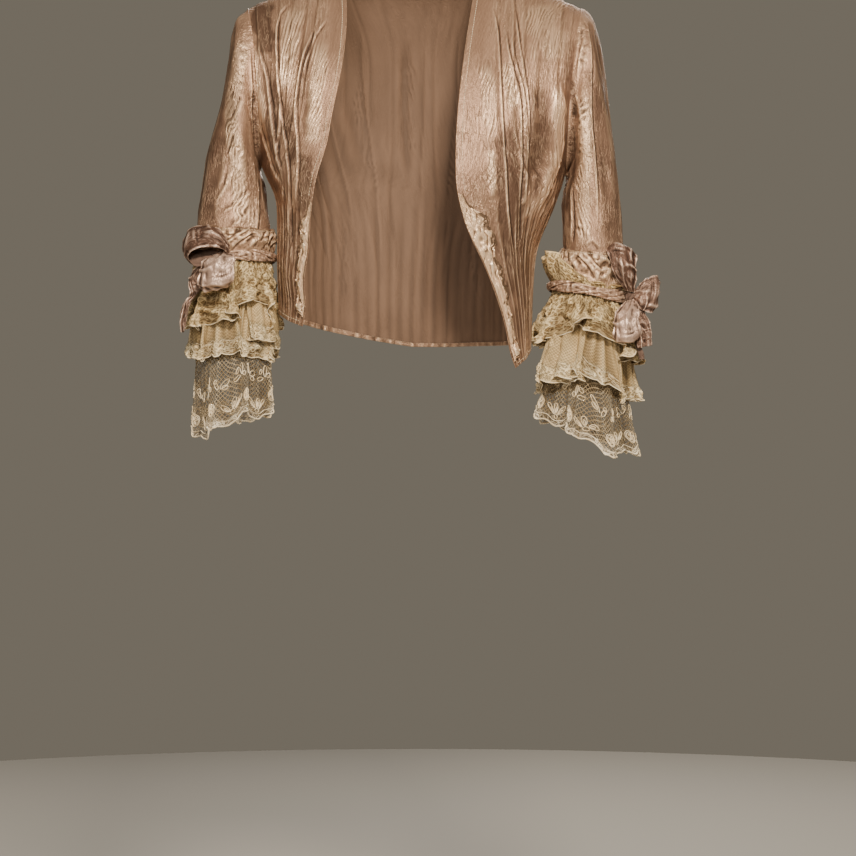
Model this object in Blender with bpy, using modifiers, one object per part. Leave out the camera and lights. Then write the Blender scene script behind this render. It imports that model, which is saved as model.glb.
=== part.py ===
"""A pleated satin bodice jacket with lace flounces on its elbow-length sleeves.

Lengths in the tables are millimetres. +Z is up and -Y is the jacket's front. The origin lies midway
between the shoulders, where the wearer holds the jacket up. Left and right are the wearer's, so left
is at +X. The jacket hangs open and keeps the hollow form of a general figure.
"""

from collections import namedtuple
from math import cos, pi, radians, sin, tan

import bpy
import numpy as np

MM = 0.001

# Cloth and seams
SATIN_WALL = 1.2
LACE_WALL = 1.0
RIBBON_WALL = 1.0
SEAM = 0.3
SHOULDER_EASE = 0.6

# Torso, driving sizes of a general figure
SHOULDER_Z = -23
NECK_Z = 21
NECK_HALF_WIDTH = {"left": 78, "right": 83}
SHOULDER_HALF_WIDTH = {"left": 193, "right": 186}
UNDERARM_HALF_WIDTH = {"left": 176, "right": 172}
UNDERARM_Z = {"left": -213, "right": -205}
ARMHOLE_FRONT_DEPTH = 53
ARMHOLE_BACK_DEPTH = 58
ARMHOLE_INSET = 5

SIDES = {"left": 1, "right": -1}

# The panels' rows run from the shoulder seam down. The first rows end on the armhole, at these angles
# from the shoulder tip, and the rest end on the side seam.
ARMHOLE_ANGLES = (0, 18, 45, 80, 120, 155, 180)
SIDE_SEAM_Z = {
    "left": (-254, -296, -348, -390, -407),
    "right": (-236, -270, -312, -345, -369),
}
Seam = namedtuple("Seam", "z half_width")
SIDE_SEAM = {
    "left": (
        Seam(-213, 176),
        Seam(-256, 161),
        Seam(-284, 147),
        Seam(-300, 142),
        Seam(-320, 138),
        Seam(-365, 138),
        Seam(-407, 136),
    ),
    "right": (
        Seam(-205, 172),
        Seam(-213, 167),
        Seam(-224, 160),
        Seam(-236, 156),
        Seam(-277, 153),
        Seam(-312, 154),
        Seam(-369, 152),
    ),
}

# The front edge at each row, and the way that the cloth faces there and at the row's outer end, in
# degrees round from the front.
FrontRow = namedtuple("FrontRow", "edge_x edge_y edge_z edge_face outer_face")
FRONT = {
    "left": (
        FrontRow(78, 0, 21, 0, 30),
        FrontRow(75, -22, 13, 0, 32),
        FrontRow(67, -55, -35, 0, 38),
        FrontRow(58, -88, -97, 0, 48),
        FrontRow(51, -109, -160, 2, 62),
        FrontRow(49, -117, -212, 5, 78),
        FrontRow(51, -119, -248, 8, 90),
        FrontRow(62, -116, -288, 13, 90),
        FrontRow(82, -108, -329, 20, 90),
        FrontRow(101, -98, -380, 26, 90),
        FrontRow(110, -92, -421, 30, 90),
        FrontRow(116, -88, -438, 32, 90),
    ),
    "right": (
        FrontRow(83, 0, 21, 0, 30),
        FrontRow(79, -22, 13, 0, 32),
        FrontRow(73, -55, -35, 0, 38),
        FrontRow(76, -88, -97, 0, 48),
        FrontRow(87, -107, -158, 3, 62),
        FrontRow(93, -114, -194, 6, 78),
        FrontRow(105, -115, -233, 12, 90),
        FrontRow(111, -110, -273, 18, 90),
        FrontRow(113, -104, -307, 24, 90),
        FrontRow(119, -98, -342, 28, 90),
        FrontRow(117, -94, -370, 30, 90),
        FrontRow(121, -90, -392, 32, 90),
    ),
}

# Pleats of each front: where the folded ridge lies, as a share of the way from the front edge to the
# side, at six heights, and how far the ridge stands up. The first is the facing's outer line.
PLEAT_STATIONS = (0, 0.25, 0.4, 0.55, 0.75, 1)
Pleat = namedtuple("Pleat", "top chest bust ribs waist hem height")
PLEATS = {
    "left": (
        Pleat(0.06, 0.10, 0.13, 0.15, 0.17, 0.10, 0),
        Pleat(0.14, 0.24, 0.29, 0.33, 0.35, 0.34, 3.0),
        Pleat(0.27, 0.40, 0.42, 0.43, 0.45, 0.44, 3.6),
        Pleat(0.36, 0.49, 0.51, 0.50, 0.53, 0.53, 2.6),
        Pleat(0.56, 0.61, 0.60, 0.58, 0.60, 0.61, 2.2),
        Pleat(0.80, 0.82, 0.79, 0.67, 0.68, 0.69, 4.2),
        Pleat(0.92, 0.93, 0.90, 0.79, 0.77, 0.78, 3.4),
    ),
    "right": (
        Pleat(0.06, 0.08, 0.10, 0.12, 0.16, 0.12, 0),
        Pleat(0.14, 0.33, 0.36, 0.25, 0.27, 0.28, 3.0),
        Pleat(0.24, 0.42, 0.44, 0.34, 0.35, 0.37, 3.6),
        Pleat(0.42, 0.55, 0.54, 0.43, 0.43, 0.45, 3.0),
        Pleat(0.62, 0.67, 0.61, 0.52, 0.51, 0.53, 3.8),
        Pleat(0.74, 0.78, 0.74, 0.62, 0.60, 0.61, 2.4),
        Pleat(0.90, 0.93, 0.90, 0.75, 0.70, 0.71, 4.0),
    ),
}
PLEAT_FADE = (0.4, 0.9, 1, 0.8, 0.55, 0.5)
PLEAT_DROP = 0.24

# The facing strip's span down the front, as shares of its length, and how high it crumples.
FACING_SPAN = {"left": (0.55, 0.96), "right": (0.6, 0.96)}
FACING_COLUMNS = (0.35, 0.7)
FACING_CRUMPLE = 3.0

# The back, at the centre back and at the row's outer end. Its first two rows follow the neckline for
# the share of the way that the neck takes. The neckline gives their drop and depth at the neck's side.
BackRow = namedtuple("BackRow", "centre_y centre_z outer_face")
BACK = (
    BackRow(62, 8, 30),
    BackRow(75, -10, 32),
    BackRow(89, -48, 38),
    BackRow(102, -104, 48),
    BackRow(105, -162, 62),
    BackRow(102, -205, 78),
    BackRow(98, -228, 90),
    BackRow(89, -272, 90),
    BackRow(82, -315, 90),
    BackRow(80, -360, 90),
    BackRow(83, -393, 90),
    BackRow(86, -408, 90),
)
NECK_SHARE = 0.42
NECKLINE = ((0, 0), (7, 22))
BACK_FOLDS = 5
BACK_FOLD_HEIGHT = 2.2
BACK_FOLD_FADE = 0.75

# Sleeves: the ring's inner and outer points in the front view, its middle and its half depth.
SleeveRing = namedtuple("SleeveRing", "inner_x inner_z outer_x outer_z middle_y half_depth")
SLEEVES = {
    "left": (
        SleeveRing(178, -215, 205, -35, 0, 58),
        SleeveRing(179, -218, 212, -57, -1, 59),
        SleeveRing(178, -222, 218, -90, -2, 58),
        SleeveRing(177, -228, 223, -130, -3, 56),
        SleeveRing(175, -236, 229, -175, -5, 53),
        SleeveRing(173, -250, 235, -220, -8, 50),
        SleeveRing(174, -270, 239, -258, -11, 47),
        SleeveRing(174, -292, 240, -290, -14, 45),
        SleeveRing(175, -313, 240, -315, -16, 43),
    ),
    "right": (
        SleeveRing(174, -207, 200, -36, 0, 58),
        SleeveRing(175, -210, 205, -58, -1, 59),
        SleeveRing(175, -214, 209, -90, -2, 58),
        SleeveRing(173, -219, 217, -126, -3, 56),
        SleeveRing(170, -226, 228, -165, -6, 52),
        SleeveRing(168, -238, 236, -205, -10, 48),
        SleeveRing(166, -256, 241, -240, -15, 45),
        SleeveRing(163, -272, 244, -266, -21, 43),
        SleeveRing(161, -288, 244, -286, -24, 42),
    ),
}
SLEEVE_HEAD_EASE = 0.6
SLEEVE_FOLDS = 7
SLEEVE_FOLD_TWIST = 5
SLEEVE_FOLD_HEIGHT = 2.0

# Cuffs: the ribbon's middle line, which the gathered lace and the band hold to. The lean tips the
# outer side down.
Cuff = namedtuple("Cuff", "middle_x middle_y ribbon_z lean half_width half_depth band_top_z")
CUFFS = {
    "left": Cuff(203, -16, -351, 9, 38, 42, -307),
    "right": Cuff(203, -24, -312, 0, 40, 41, -280),
}
LACE_STEP = 1.45
BAND_STEP = 2.3
RIBBON_STEP = 1.6
BAND_EASE = 2.2
STEM = 9
BAND_OVERLAP = 3
RIBBON_HALF_HEIGHT = 6

# The crumpled band's rings: how far down each lies, and how high it crumples.
BandRing = namedtuple("BandRing", "share crumple")
BAND_RINGS = (
    BandRing(0, 0),
    BandRing(0.2, 3),
    BandRing(0.38, 3.5),
    BandRing(0.56, 1.8),
    BandRing(0.76, 0),
    BandRing(1, 0),
)
BAND_SPREAD = 1.3
RIBBON_CRUMPLE = 2

# The lace heading: how far it rises above the ribbon and spreads, at the outer and the inner side.
FRILL_ROWS = (-1, 0, 0.5, 1)
FRILL_RISE = (5, 35)
FRILL_SPREAD = (2, 7)
FRILL_WAVES = 7
FRILL_SWING = 1.8

# Flounces: how far each tier's hem hangs below the ribbon at six places round the sleeve, from the
# outer side to the front, the inner side and the back.
HEM_STATIONS = (0, 45, 90, 135, 180, 270)
Flounce = namedtuple("Flounce", "outer front_outer front front_inner inner back")
FLOUNCES = {
    "left": {
        "upper": Flounce(77, 56, 34, 49, 44, 60),
        "middle": Flounce(122, 120, 96, 96, 112, 112),
        "lower": Flounce(184, 189, 165, 147, 130, 160),
    },
    "right": {
        "upper": Flounce(76, 70, 53, 58, 76, 72),
        "middle": Flounce(116, 112, 98, 112, 106, 112),
        "lower": Flounce(202, 191, 173, 181, 164, 186),
    },
}
Tier = namedtuple("Tier", "layer hem_half_width hem_half_depth bend waves swing phase shift")
TIERS = {
    "left": {
        "upper": Tier(2, 57, 60, 0.8, 7, 4.5, 150, -5),
        "middle": Tier(1, 56, 58, 1.5, 7, 5.0, 100, -5),
        "lower": Tier(0, 55, 57, 2.4, 7, 5.5, 35, -5),
    },
    "right": {
        "upper": Tier(2, 47.5, 58, 0.8, 7, 2.8, 150, 0),
        "middle": Tier(1, 45, 56, 1.5, 7, 3.4, 100, 0),
        "lower": Tier(0, 43, 54, 2.8, 7, 3.6, 35, 0),
    },
}

# Bow loops and tails: points of the ribbon's middle line from the knot's middle, and the ribbon's
# width there.
Point = namedtuple("Point", "x y z width")
BOW_AT = {"left": 38, "right": 84}
BOW_OUT = {"left": 8.8, "right": 6.2}
KNOT_SIZE = {"left": (8, 7, 9), "right": (9, 7, 8)}
Ribbon = namedtuple("Ribbon", "turn points")
BOWS = {
    "left": {
        "upper_loop": Ribbon(
            (0.93, 0.1, -0.35),
            (
                Point(-2, -4, 10, 8),
                Point(-8, -11, 26, 19),
                Point(-13, -13, 42, 27),
                Point(-13, -10, 55, 29),
                Point(-10, -4, 56, 27),
                Point(-6, -1, 42, 22),
                Point(-3, 1, 26, 15),
                Point(-1, 0, 10, 8),
            ),
        ),
        "outer_loop": Ribbon(
            (0.15, 0.15, 1),
            (
                Point(8, -5, -1, 8),
                Point(18, -10, 1, 22),
                Point(28, -9, 2, 36),
                Point(35, -1, 1, 42),
                Point(32, 8, -1, 38),
                Point(22, 8, -2, 24),
                Point(8, 2, -1, 8),
            ),
        ),
        "lower_loop": Ribbon(
            (0.95, -0.1, 0.25),
            (
                Point(-2.3, -4.4, -8.3, 8),
                Point(-9, -18, -22, 18),
                Point(-13, -27, -36, 25),
                Point(-12, -25, -49, 26),
                Point(-10, -18, -48, 24),
                Point(-7, -15, -34, 18),
                Point(-4, -11, -20, 13),
                Point(-0.3, -4.4, -9.3, 7),
            ),
        ),
        "outer_tail": Ribbon(
            (0.9, 0.3, 0.2),
            (
                Point(5.3, -1.8, -7.9, 7),
                Point(11, -8, -24, 12),
                Point(15, -8, -40, 16),
                Point(17, -6, -56, 15),
            ),
        ),
        "inner_tail": Ribbon(
            (0.8, 0.5, -0.2),
            (
                Point(9, 1.5, -7.5, 6),
                Point(14, 0, -30, 9),
                Point(12, -2, -50, 10),
                Point(14, -1, -70, 8),
            ),
        ),
    },
    "right": {
        "upper_loop": Ribbon(
            (0.15, -0.6, -0.78),
            (
                Point(-8.2, -4, 4, 9),
                Point(-22, -5, 18, 24),
                Point(-38, -3, 27, 34),
                Point(-54, 2, 22, 36),
                Point(-60, 5, 8, 32),
                Point(-48, 1, -3, 26),
                Point(-28, -6, -5, 18),
                Point(-8.2, -5, -2, 8),
            ),
        ),
        "lower_loop": Ribbon(
            (0.95, -0.25, 0.2),
            (
                Point(-2.3, -3.4, -8.2, 12),
                Point(-7, -16, -14, 26),
                Point(-10, -21, -26, 33),
                Point(-13, -17, -38, 31),
                Point(-12, -11, -33, 25),
                Point(-6, -8, -20, 16),
                Point(-2.3, -5.2, -11.2, 9),
            ),
        ),
        "outer_tail": Ribbon(
            (0.9, -0.4, 0.2),
            (
                Point(-9.4, -1.4, -6.5, 8),
                Point(-32, 1, -16, 11),
                Point(-48, 6, -26, 12),
                Point(-52, 8, -42, 12),
                Point(-58, 9, -56, 12),
                Point(-61, 9, -72, 10),
                Point(-59, 9, -84, 8),
            ),
        ),
    },
}

# Mesh sizes
PANEL_ROWS = 15
BACK_COLUMNS = 22
SLEEVE_ROWS = 11
SLEEVE_COLUMNS = 24
FLOUNCE_COLUMNS = 35
FLOUNCE_ROWS = {"upper": 4, "middle": 5, "lower": 7}
BAND_COLUMNS = 24
RIBBON_STEPS = 12
KNOT_SEGMENTS = 12
KNOT_RINGS = 8

Cloth = namedtuple("Cloth", "wall colour roughness")
SATIN = Cloth(SATIN_WALL, (0.42, 0.27, 0.19), 0.4)
SATIN_EDGE = Cloth(SATIN_WALL, (0.55, 0.37, 0.26), 0.45)
LACE = Cloth(LACE_WALL, (0.50, 0.37, 0.21), 0.7)
MAUVE = Cloth(RIBBON_WALL, (0.38, 0.27, 0.22), 0.5)


def spline(table, t):
    """The columns of a table at t, from 0 to 1, on a smooth curve through its evenly spaced rows."""
    rows = np.array(table, dtype=float)
    rows = np.vstack([2 * rows[0] - rows[1], rows, 2 * rows[-1] - rows[-2]])
    place = min(max(t, 0), 1) * (len(rows) - 3)
    start = min(int(place), len(rows) - 4)
    step = place - start
    before, here, there, after = rows[start : start + 4]
    return 0.5 * (
        2 * here
        + (there - before) * step
        + (2 * before - 5 * here + 4 * there - after) * step**2
        + (3 * here - before - 3 * there + after) * step**3
    )


def round_spline(stations, values, angle):
    """A value at an angle in degrees, on a smooth curve through values that repeat each turn."""
    places = np.array([s - 360 for s in stations[-2:]] + list(stations) + [s + 360 for s in stations[:2]])
    around = np.array(list(values[-2:]) + list(values) + list(values[:2]), dtype=float)
    angle = angle % 360
    slot = int(np.searchsorted(places, angle, side="right")) - 1
    step = (angle - places[slot]) / (places[slot + 1] - places[slot])
    ease = step * step * (3 - 2 * step)
    return around[slot] + (around[slot + 1] - around[slot]) * ease


def armhole(side, angle, facing):
    """A point of the armhole, at an angle in degrees from the shoulder tip. Facing is -1 in front."""
    turn = radians(angle)
    middle_z = (SHOULDER_Z + UNDERARM_Z[side]) / 2
    half_height = (SHOULDER_Z - UNDERARM_Z[side]) / 2
    middle_x = (SHOULDER_HALF_WIDTH[side] + UNDERARM_HALF_WIDTH[side]) / 2
    lean_x = (SHOULDER_HALF_WIDTH[side] - UNDERARM_HALF_WIDTH[side]) / 2
    depth = ARMHOLE_FRONT_DEPTH if facing < 0 else ARMHOLE_BACK_DEPTH
    return np.array(
        [
            middle_x + lean_x * cos(turn) - ARMHOLE_INSET * sin(turn) ** 2,
            facing * depth * sin(turn),
            middle_z + half_height * cos(turn),
        ]
    )


def outer_line(side, facing):
    """The outer ends of a panel's rows: down the armhole, then down the side seam."""
    points = [armhole(side, angle, facing) for angle in ARMHOLE_ANGLES]
    heights = [seam.z for seam in reversed(SIDE_SEAM[side])]
    widths = [seam.half_width for seam in reversed(SIDE_SEAM[side])]
    for z in SIDE_SEAM_Z[side]:
        points.append(np.array([np.interp(z, heights, widths), 0, z]))
    return np.array(points)


def outer_point(line, facing, v):
    """A point of an outer line at v down it, kept on its own side of the side seam."""
    point = spline(line, v)
    point[1] = facing * max(0, facing * point[1])
    return point


def arc_row(inner, outer, inner_face, outer_face, shares):
    """Points from one end of a row to the other, on an arc that faces as given at its ends."""
    turns = np.radians(inner_face + (outer_face - inner_face) * shares)
    first, last = radians(inner_face), radians(outer_face)
    along = (np.sin(turns) - sin(first)) / (sin(last) - sin(first))
    back = (cos(first) - np.cos(turns)) / (cos(first) - cos(last))
    return np.column_stack(
        [
            inner[0] + (outer[0] - inner[0]) * along,
            inner[1] + (outer[1] - inner[1]) * back,
            inner[2] + (outer[2] - inner[2]) * shares,
        ]
    )


def grid_normals(grid):
    """Unit normals of a grid of points."""
    across = np.gradient(grid, axis=1)
    down = np.gradient(grid, axis=0)
    normals = np.cross(across, down)
    return normals / np.linalg.norm(normals, axis=2, keepdims=True)


def panel_normals(grid, facing):
    """Unit normals of a panel, turned forward where facing is -1 and backward where it is 1."""
    normals = grid_normals(grid)
    return normals if normals[..., 1].mean() * facing > 0 else -normals


def pleat_lines(side, v):
    """The shares across a front at which its pleats' ridges lie, at v down the front."""
    return [np.interp(v, PLEAT_STATIONS, pleat[:6]) for pleat in PLEATS[side]]


def front_shares(side, v):
    """The columns of a front: its edges, each pleat's ridge and foot, and a point between."""
    ridges = pleat_lines(side, v)
    shares = [0] + [ridges[0] * share for share in FACING_COLUMNS]
    for ridge, after in zip(ridges, ridges[1:] + [1]):
        gap = after - ridge
        shares += [ridge, ridge + gap * PLEAT_DROP, ridge + gap * (1 + PLEAT_DROP) / 2]
    return np.array(shares + [1])


def pleat_heights(side, v, shares):
    """How far a front's cloth stands off its plain form, at v down and at shares across."""
    ridges = pleat_lines(side, v)
    fade = np.interp(v, PLEAT_STATIONS, PLEAT_FADE)
    places, heights = [0], [0]
    for pleat, ridge, after in zip(PLEATS[side], ridges, ridges[1:] + [1]):
        places += [ridge, ridge + (after - ridge) * PLEAT_DROP]
        heights += [pleat.height * fade, 0]
    return np.interp(shares, places + [1], heights + [0])


def front_grid(side, rows):
    """The outer points of one front, from the shoulder down and from its edge to its side."""
    outer = outer_line(side, -1)
    plain, heights = [], []
    for v in np.linspace(0, 1, rows + 1):
        shares = front_shares(side, v)
        row = FrontRow(*spline(FRONT[side], v))
        start = (row.edge_x, row.edge_y, row.edge_z)
        plain.append(arc_row(start, outer_point(outer, -1, v), row.edge_face, row.outer_face, shares))
        heights.append(pleat_heights(side, v, shares))
    plain = np.array(plain)
    grid = plain + panel_normals(plain, -1) * np.array(heights)[..., None]
    grid[..., 1] -= SEAM / 2
    grid[0, :, 1] = -SHOULDER_EASE
    grid[..., 0] *= SIDES[side]
    return grid


def back_top(side, row, share):
    """A point of the back's neckline and shoulder seam on one side, for its first two rows."""
    drop, neck_y = NECKLINE[row]
    neck = np.array([NECK_HALF_WIDTH[side] + drop / 2, neck_y, NECK_Z - drop])
    if share > NECK_SHARE:
        tip = armhole(side, ARMHOLE_ANGLES[row], 1)
        return neck + (tip - neck) * (share - NECK_SHARE) / (1 - NECK_SHARE)
    turn = share / NECK_SHARE * pi / 2
    back = BACK[row]
    return np.array(
        [
            neck[0] * sin(turn),
            neck[1] + (back.centre_y - neck[1]) * cos(turn),
            neck[2] + (back.centre_z - neck[2]) * cos(turn),
        ]
    )


def back_grid(rows, columns):
    """The outer points of the back, from the shoulders down and from its right side to its left."""
    lines = {side: outer_line(side, 1) for side in SIDES}
    stations = []
    for index, row in enumerate(BACK):
        points = []
        for place in np.linspace(-1, 1, columns + 1):
            side = "left" if place >= 0 else "right"
            share = abs(place)
            if index < len(NECKLINE):
                point = back_top(side, index, share)
            else:
                start = (0, row.centre_y, row.centre_z)
                point = arc_row(start, lines[side][index], 0, row.outer_face, np.array([share]))[0]
            points.append(point * (SIDES[side], 1, 1))
        stations.append(np.array(points).ravel())
    plain = np.array([spline(stations, v).reshape(-1, 3) for v in np.linspace(0, 1, rows + 1)])
    plain[..., 1] = np.maximum(plain[..., 1], 0)
    down = np.linspace(0, 1, rows + 1)[:, None]
    place = np.linspace(-1, 1, columns + 1)[None, :]
    folds = np.cos(place * BACK_FOLDS * pi) * (1 - place**4)
    heights = BACK_FOLD_HEIGHT * folds * np.sin(down * pi * BACK_FOLD_FADE)
    grid = plain + panel_normals(plain, 1) * heights[..., None]
    grid[..., 1] += SEAM / 2
    grid[0, :, 1] = np.maximum(grid[0, :, 1], SHOULDER_EASE)
    return grid


def crumple(i, j, height):
    """A bump of crumpled cloth, never below zero, that differs from place to place."""
    wave = sin(1.9 * i + 2.3 * sin(1.1 * j)) * cos(1.3 * j + 1.7 * sin(0.9 * i))
    return height * (0.5 + 0.5 * wave)


def facing_grid(side, panel):
    """A crumpled strip on a front's edge, made from the front's own points, moved out."""
    first, last = (round(share * (len(panel) - 1)) for share in FACING_SPAN[side])
    strip = panel[first : last + 1, : len(FACING_COLUMNS) + 2]
    lifts = np.full(strip.shape[:2], SATIN_WALL + SEAM)
    for i in range(strip.shape[0]):
        for j in range(1, strip.shape[1]):
            lifts[i, j] += crumple(i, j + 3, FACING_CRUMPLE)
    return strip + panel_normals(strip, -1) * lifts[..., None]


def sleeve_grid(side, rows, columns):
    """The outer points of a sleeve, from the armhole down, in rings from the outer side to the front."""
    angles = np.linspace(0, 360, columns, endpoint=False)
    head = []
    for angle in angles:
        facing = -1 if angle <= 180 else 1
        point = armhole(side, angle if angle <= 180 else 360 - angle, facing)
        point[0] += SLEEVE_HEAD_EASE + SATIN_WALL * max(0, cos(radians(angle)))
        head.append(point)
    stations = [np.array(head).ravel()]
    for ring in SLEEVES[side]:
        outer = np.array([ring.outer_x, ring.middle_y, ring.outer_z])
        inner = np.array([ring.inner_x, ring.middle_y, ring.inner_z])
        front = np.array([0, -ring.half_depth, 0])
        points = []
        for turn in np.radians(angles):
            points.append((outer + inner) / 2 + (outer - inner) / 2 * cos(turn) + front * sin(turn))
        stations.append(np.array(points).ravel())
    down = np.linspace(0, 1, rows + 1)
    plain = np.array([spline(stations, v).reshape(-1, 3) for v in down])
    normals = tube_normals(plain)
    turn = np.radians(angles)[None, :]
    v = down[:, None]
    folds = np.sin(SLEEVE_FOLDS * turn + SLEEVE_FOLD_TWIST * v) * np.sin(pi * v) * (3 + 2 * np.cos(turn)) / 5
    grid = plain + normals * (SLEEVE_FOLD_HEIGHT * folds)[..., None]
    grid[..., 0] *= SIDES[side]
    return grid


def tube_normals(grid):
    """Unit normals of a closed tube of rings, pointing away from its middle."""
    wrapped = np.concatenate([grid[:, -1:], grid, grid[:, :1]], axis=1)
    normals = grid_normals(wrapped)[:, 1:-1]
    outward = grid - grid.mean(axis=1, keepdims=True)
    if (normals * outward).sum() < 0:
        normals = -normals
    return normals


def cuff_point(side, angle, half_width, half_depth, z, shift=0):
    """A point of a leaning ring round a cuff, at an angle in degrees from the outer side."""
    cuff = CUFFS[side]
    across = half_width * cos(radians(angle))
    return np.array(
        [
            cuff.middle_x + shift + across,
            cuff.middle_y - half_depth * sin(radians(angle)),
            z - across * tan(radians(cuff.lean)),
        ]
    )


def lace_half(side, layer):
    """Half width and half depth of a gathered layer under the ribbon, counted from the inside."""
    cuff = CUFFS[side]
    return cuff.half_width + layer * LACE_STEP, cuff.half_depth + layer * LACE_STEP


def flounce_grid(side, tier_name, rows, columns):
    """The outer points of one flounce: a short stem under the ribbon, then a flare in waves."""
    cuff = CUFFS[side]
    tier = TIERS[side][tier_name]
    top_width, top_depth = lace_half(side, tier.layer)
    top_z = cuff.ribbon_z + BAND_OVERLAP
    grid = []
    for row in range(rows + 1):
        points = []
        for angle in np.linspace(0, 360, columns, endpoint=False):
            hang = round_spline(HEM_STATIONS, FLOUNCES[side][tier_name], angle)
            length = hang + BAND_OVERLAP
            depth = STEM * row if row < 2 else STEM + (length - STEM) * (row - 1) / (rows - 1)
            open_share = max(0, (depth - STEM) / (length - STEM))
            flare = open_share**tier.bend
            wave = sin(radians(tier.waves * angle + tier.phase)) * tier.swing
            wave *= open_share ** (1 + tier.bend / 2)
            half_width = top_width + (tier.hem_half_width - top_width) * flare + wave
            half_depth = top_depth + (tier.hem_half_depth - top_depth) * flare + wave
            shift = tier.shift * open_share
            point = cuff_point(side, angle, half_width, half_depth, top_z, shift)
            point[2] = point[2] * (1 - open_share) + top_z * open_share - depth
            points.append(point)
        grid.append(points)
    grid = np.array(grid)
    grid[..., 0] *= SIDES[side]
    return grid


def ring_stack(side, rings, columns):
    """A tube round a cuff through rings of (height, half width, half depth, shift, crumple)."""
    grid = []
    for i, (z, half_width, half_depth, shift, bump) in enumerate(rings):
        points = []
        for j, angle in enumerate(np.linspace(0, 360, columns, endpoint=False)):
            lift = crumple(i * 1.7, j * 1.3, bump)
            points.append(cuff_point(side, angle, half_width + lift, half_depth + lift, z, shift))
        grid.append(points)
    grid = np.array(grid)
    grid[..., 0] *= SIDES[side]
    return grid


def band_grid(side, columns):
    """The crumpled satin band, from over the sleeve's end to over the gathered lace."""
    cuff = CUFFS[side]
    end = SLEEVES[side][-1]
    top_width = (end.outer_x - end.inner_x) / 2 + SATIN_WALL + BAND_EASE
    top_depth = end.half_depth + SATIN_WALL + BAND_EASE
    shift = (end.outer_x + end.inner_x) / 2 - cuff.middle_x
    low_width, low_depth = lace_half(side, 2)
    low_width += BAND_STEP
    low_depth += BAND_STEP
    bottom = cuff.ribbon_z - BAND_OVERLAP
    rings = []
    for ring in BAND_RINGS:
        spread = min(1, ring.share * BAND_SPREAD)
        rings.append(
            (
                cuff.band_top_z + (bottom - cuff.band_top_z) * ring.share,
                top_width + (low_width - top_width) * spread,
                top_depth + (low_depth - top_depth) * spread,
                shift * (1 - ring.share),
                ring.crumple,
            )
        )
    return ring_stack(side, rings, columns)


def ribbon_grid(side, layer, columns):
    """The ribbon round a cuff, over everything that it gathers."""
    cuff = CUFFS[side]
    width, depth = lace_half(side, 2)
    lift = BAND_STEP + layer * RIBBON_STEP
    rings = []
    for t, bump in ((1, 0), (0, RIBBON_CRUMPLE), (-1, 0)):
        rings.append((cuff.ribbon_z + t * RIBBON_HALF_HEIGHT, width + lift, depth + lift, 0, bump))
    return ring_stack(side, rings, columns)


def frill_grid(columns):
    """The lace heading that stands up round the left cuff, tall at the inner side."""
    side = "left"
    cuff = CUFFS[side]
    width, depth = lace_half(side, 2)
    grid = []
    for t in FRILL_ROWS:
        points = []
        for angle in np.linspace(0, 360, columns, endpoint=False):
            inner = ((1 - cos(radians(angle))) / 2) ** 2
            rise = np.interp(inner, (0, 1), FRILL_RISE)
            spread = np.interp(inner, (0, 1), FRILL_SPREAD) + FRILL_SWING * sin(radians(FRILL_WAVES * angle))
            out = BAND_STEP + RIBBON_STEP + SEAM + max(t, 0) * spread
            z = RIBBON_HALF_HEIGHT + 1 + t * rise if t >= 0 else -BAND_OVERLAP
            points.append(cuff_point(side, angle, width + out, depth + out, cuff.ribbon_z + z))
        grid.append(points)
    grid = np.array(grid)
    grid[..., 0] *= SIDES[side]
    return grid


def strip_grid(middle, ribbon, steps):
    """A ribbon along a smooth line of points, with its width across the given direction."""
    turn = np.array(ribbon.turn) / np.linalg.norm(ribbon.turn)
    grid = []
    for t in np.linspace(0, 1, steps + 1):
        point = Point(*spline(ribbon.points, t))
        line = middle + np.array([point.x, point.y, point.z])
        grid.append([line + turn * point.width * share for share in (-0.5, 0, 0.5)])
    return np.array(grid)


def knot_middle(side):
    """The middle of a bow's knot, just outside the ribbon round the cuff."""
    width, depth = lace_half(side, 2)
    lift = BAND_STEP + 2 * RIBBON_STEP + BOW_OUT[side]
    point = cuff_point(side, BOW_AT[side], width + lift, depth + lift, CUFFS[side].ribbon_z)
    point[0] *= SIDES[side]
    return point


def plain_material(name, cloth):
    """A plain cloth material."""
    material = bpy.data.materials.new(name)
    material.use_nodes = True
    shader = material.node_tree.nodes["Principled BSDF"]
    shader.inputs["Base Color"].default_value = (*cloth.colour, 1)
    shader.inputs["Roughness"].default_value = cloth.roughness
    shader.inputs["Metallic"].default_value = 0
    material.diffuse_color = (*cloth.colour, 1)
    return material


def grid_faces(rows, columns, closed):
    """The faces of a grid of points. A closed grid's last column joins its first."""
    faces = []
    for i in range(rows - 1):
        for j in range(columns if closed else columns - 1):
            k = (j + 1) % columns
            faces.append((i * columns + j, i * columns + k, (i + 1) * columns + k, (i + 1) * columns + j))
    return faces


def away_from_body(grid):
    """Unit normals of an open grid, turned away from the upright line through the origin."""
    normals = grid_normals(grid)
    return normals if (normals * grid * (1, 1, 0)).sum() > 0 else -normals


def faces_outward(mesh, normals):
    """True if the mesh's faces face the way of the given normals."""
    outward = normals.reshape(-1, 3)
    return sum(float(np.dot(face.normal, outward[face.vertices[0]])) for face in mesh.polygons) > 0


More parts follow.
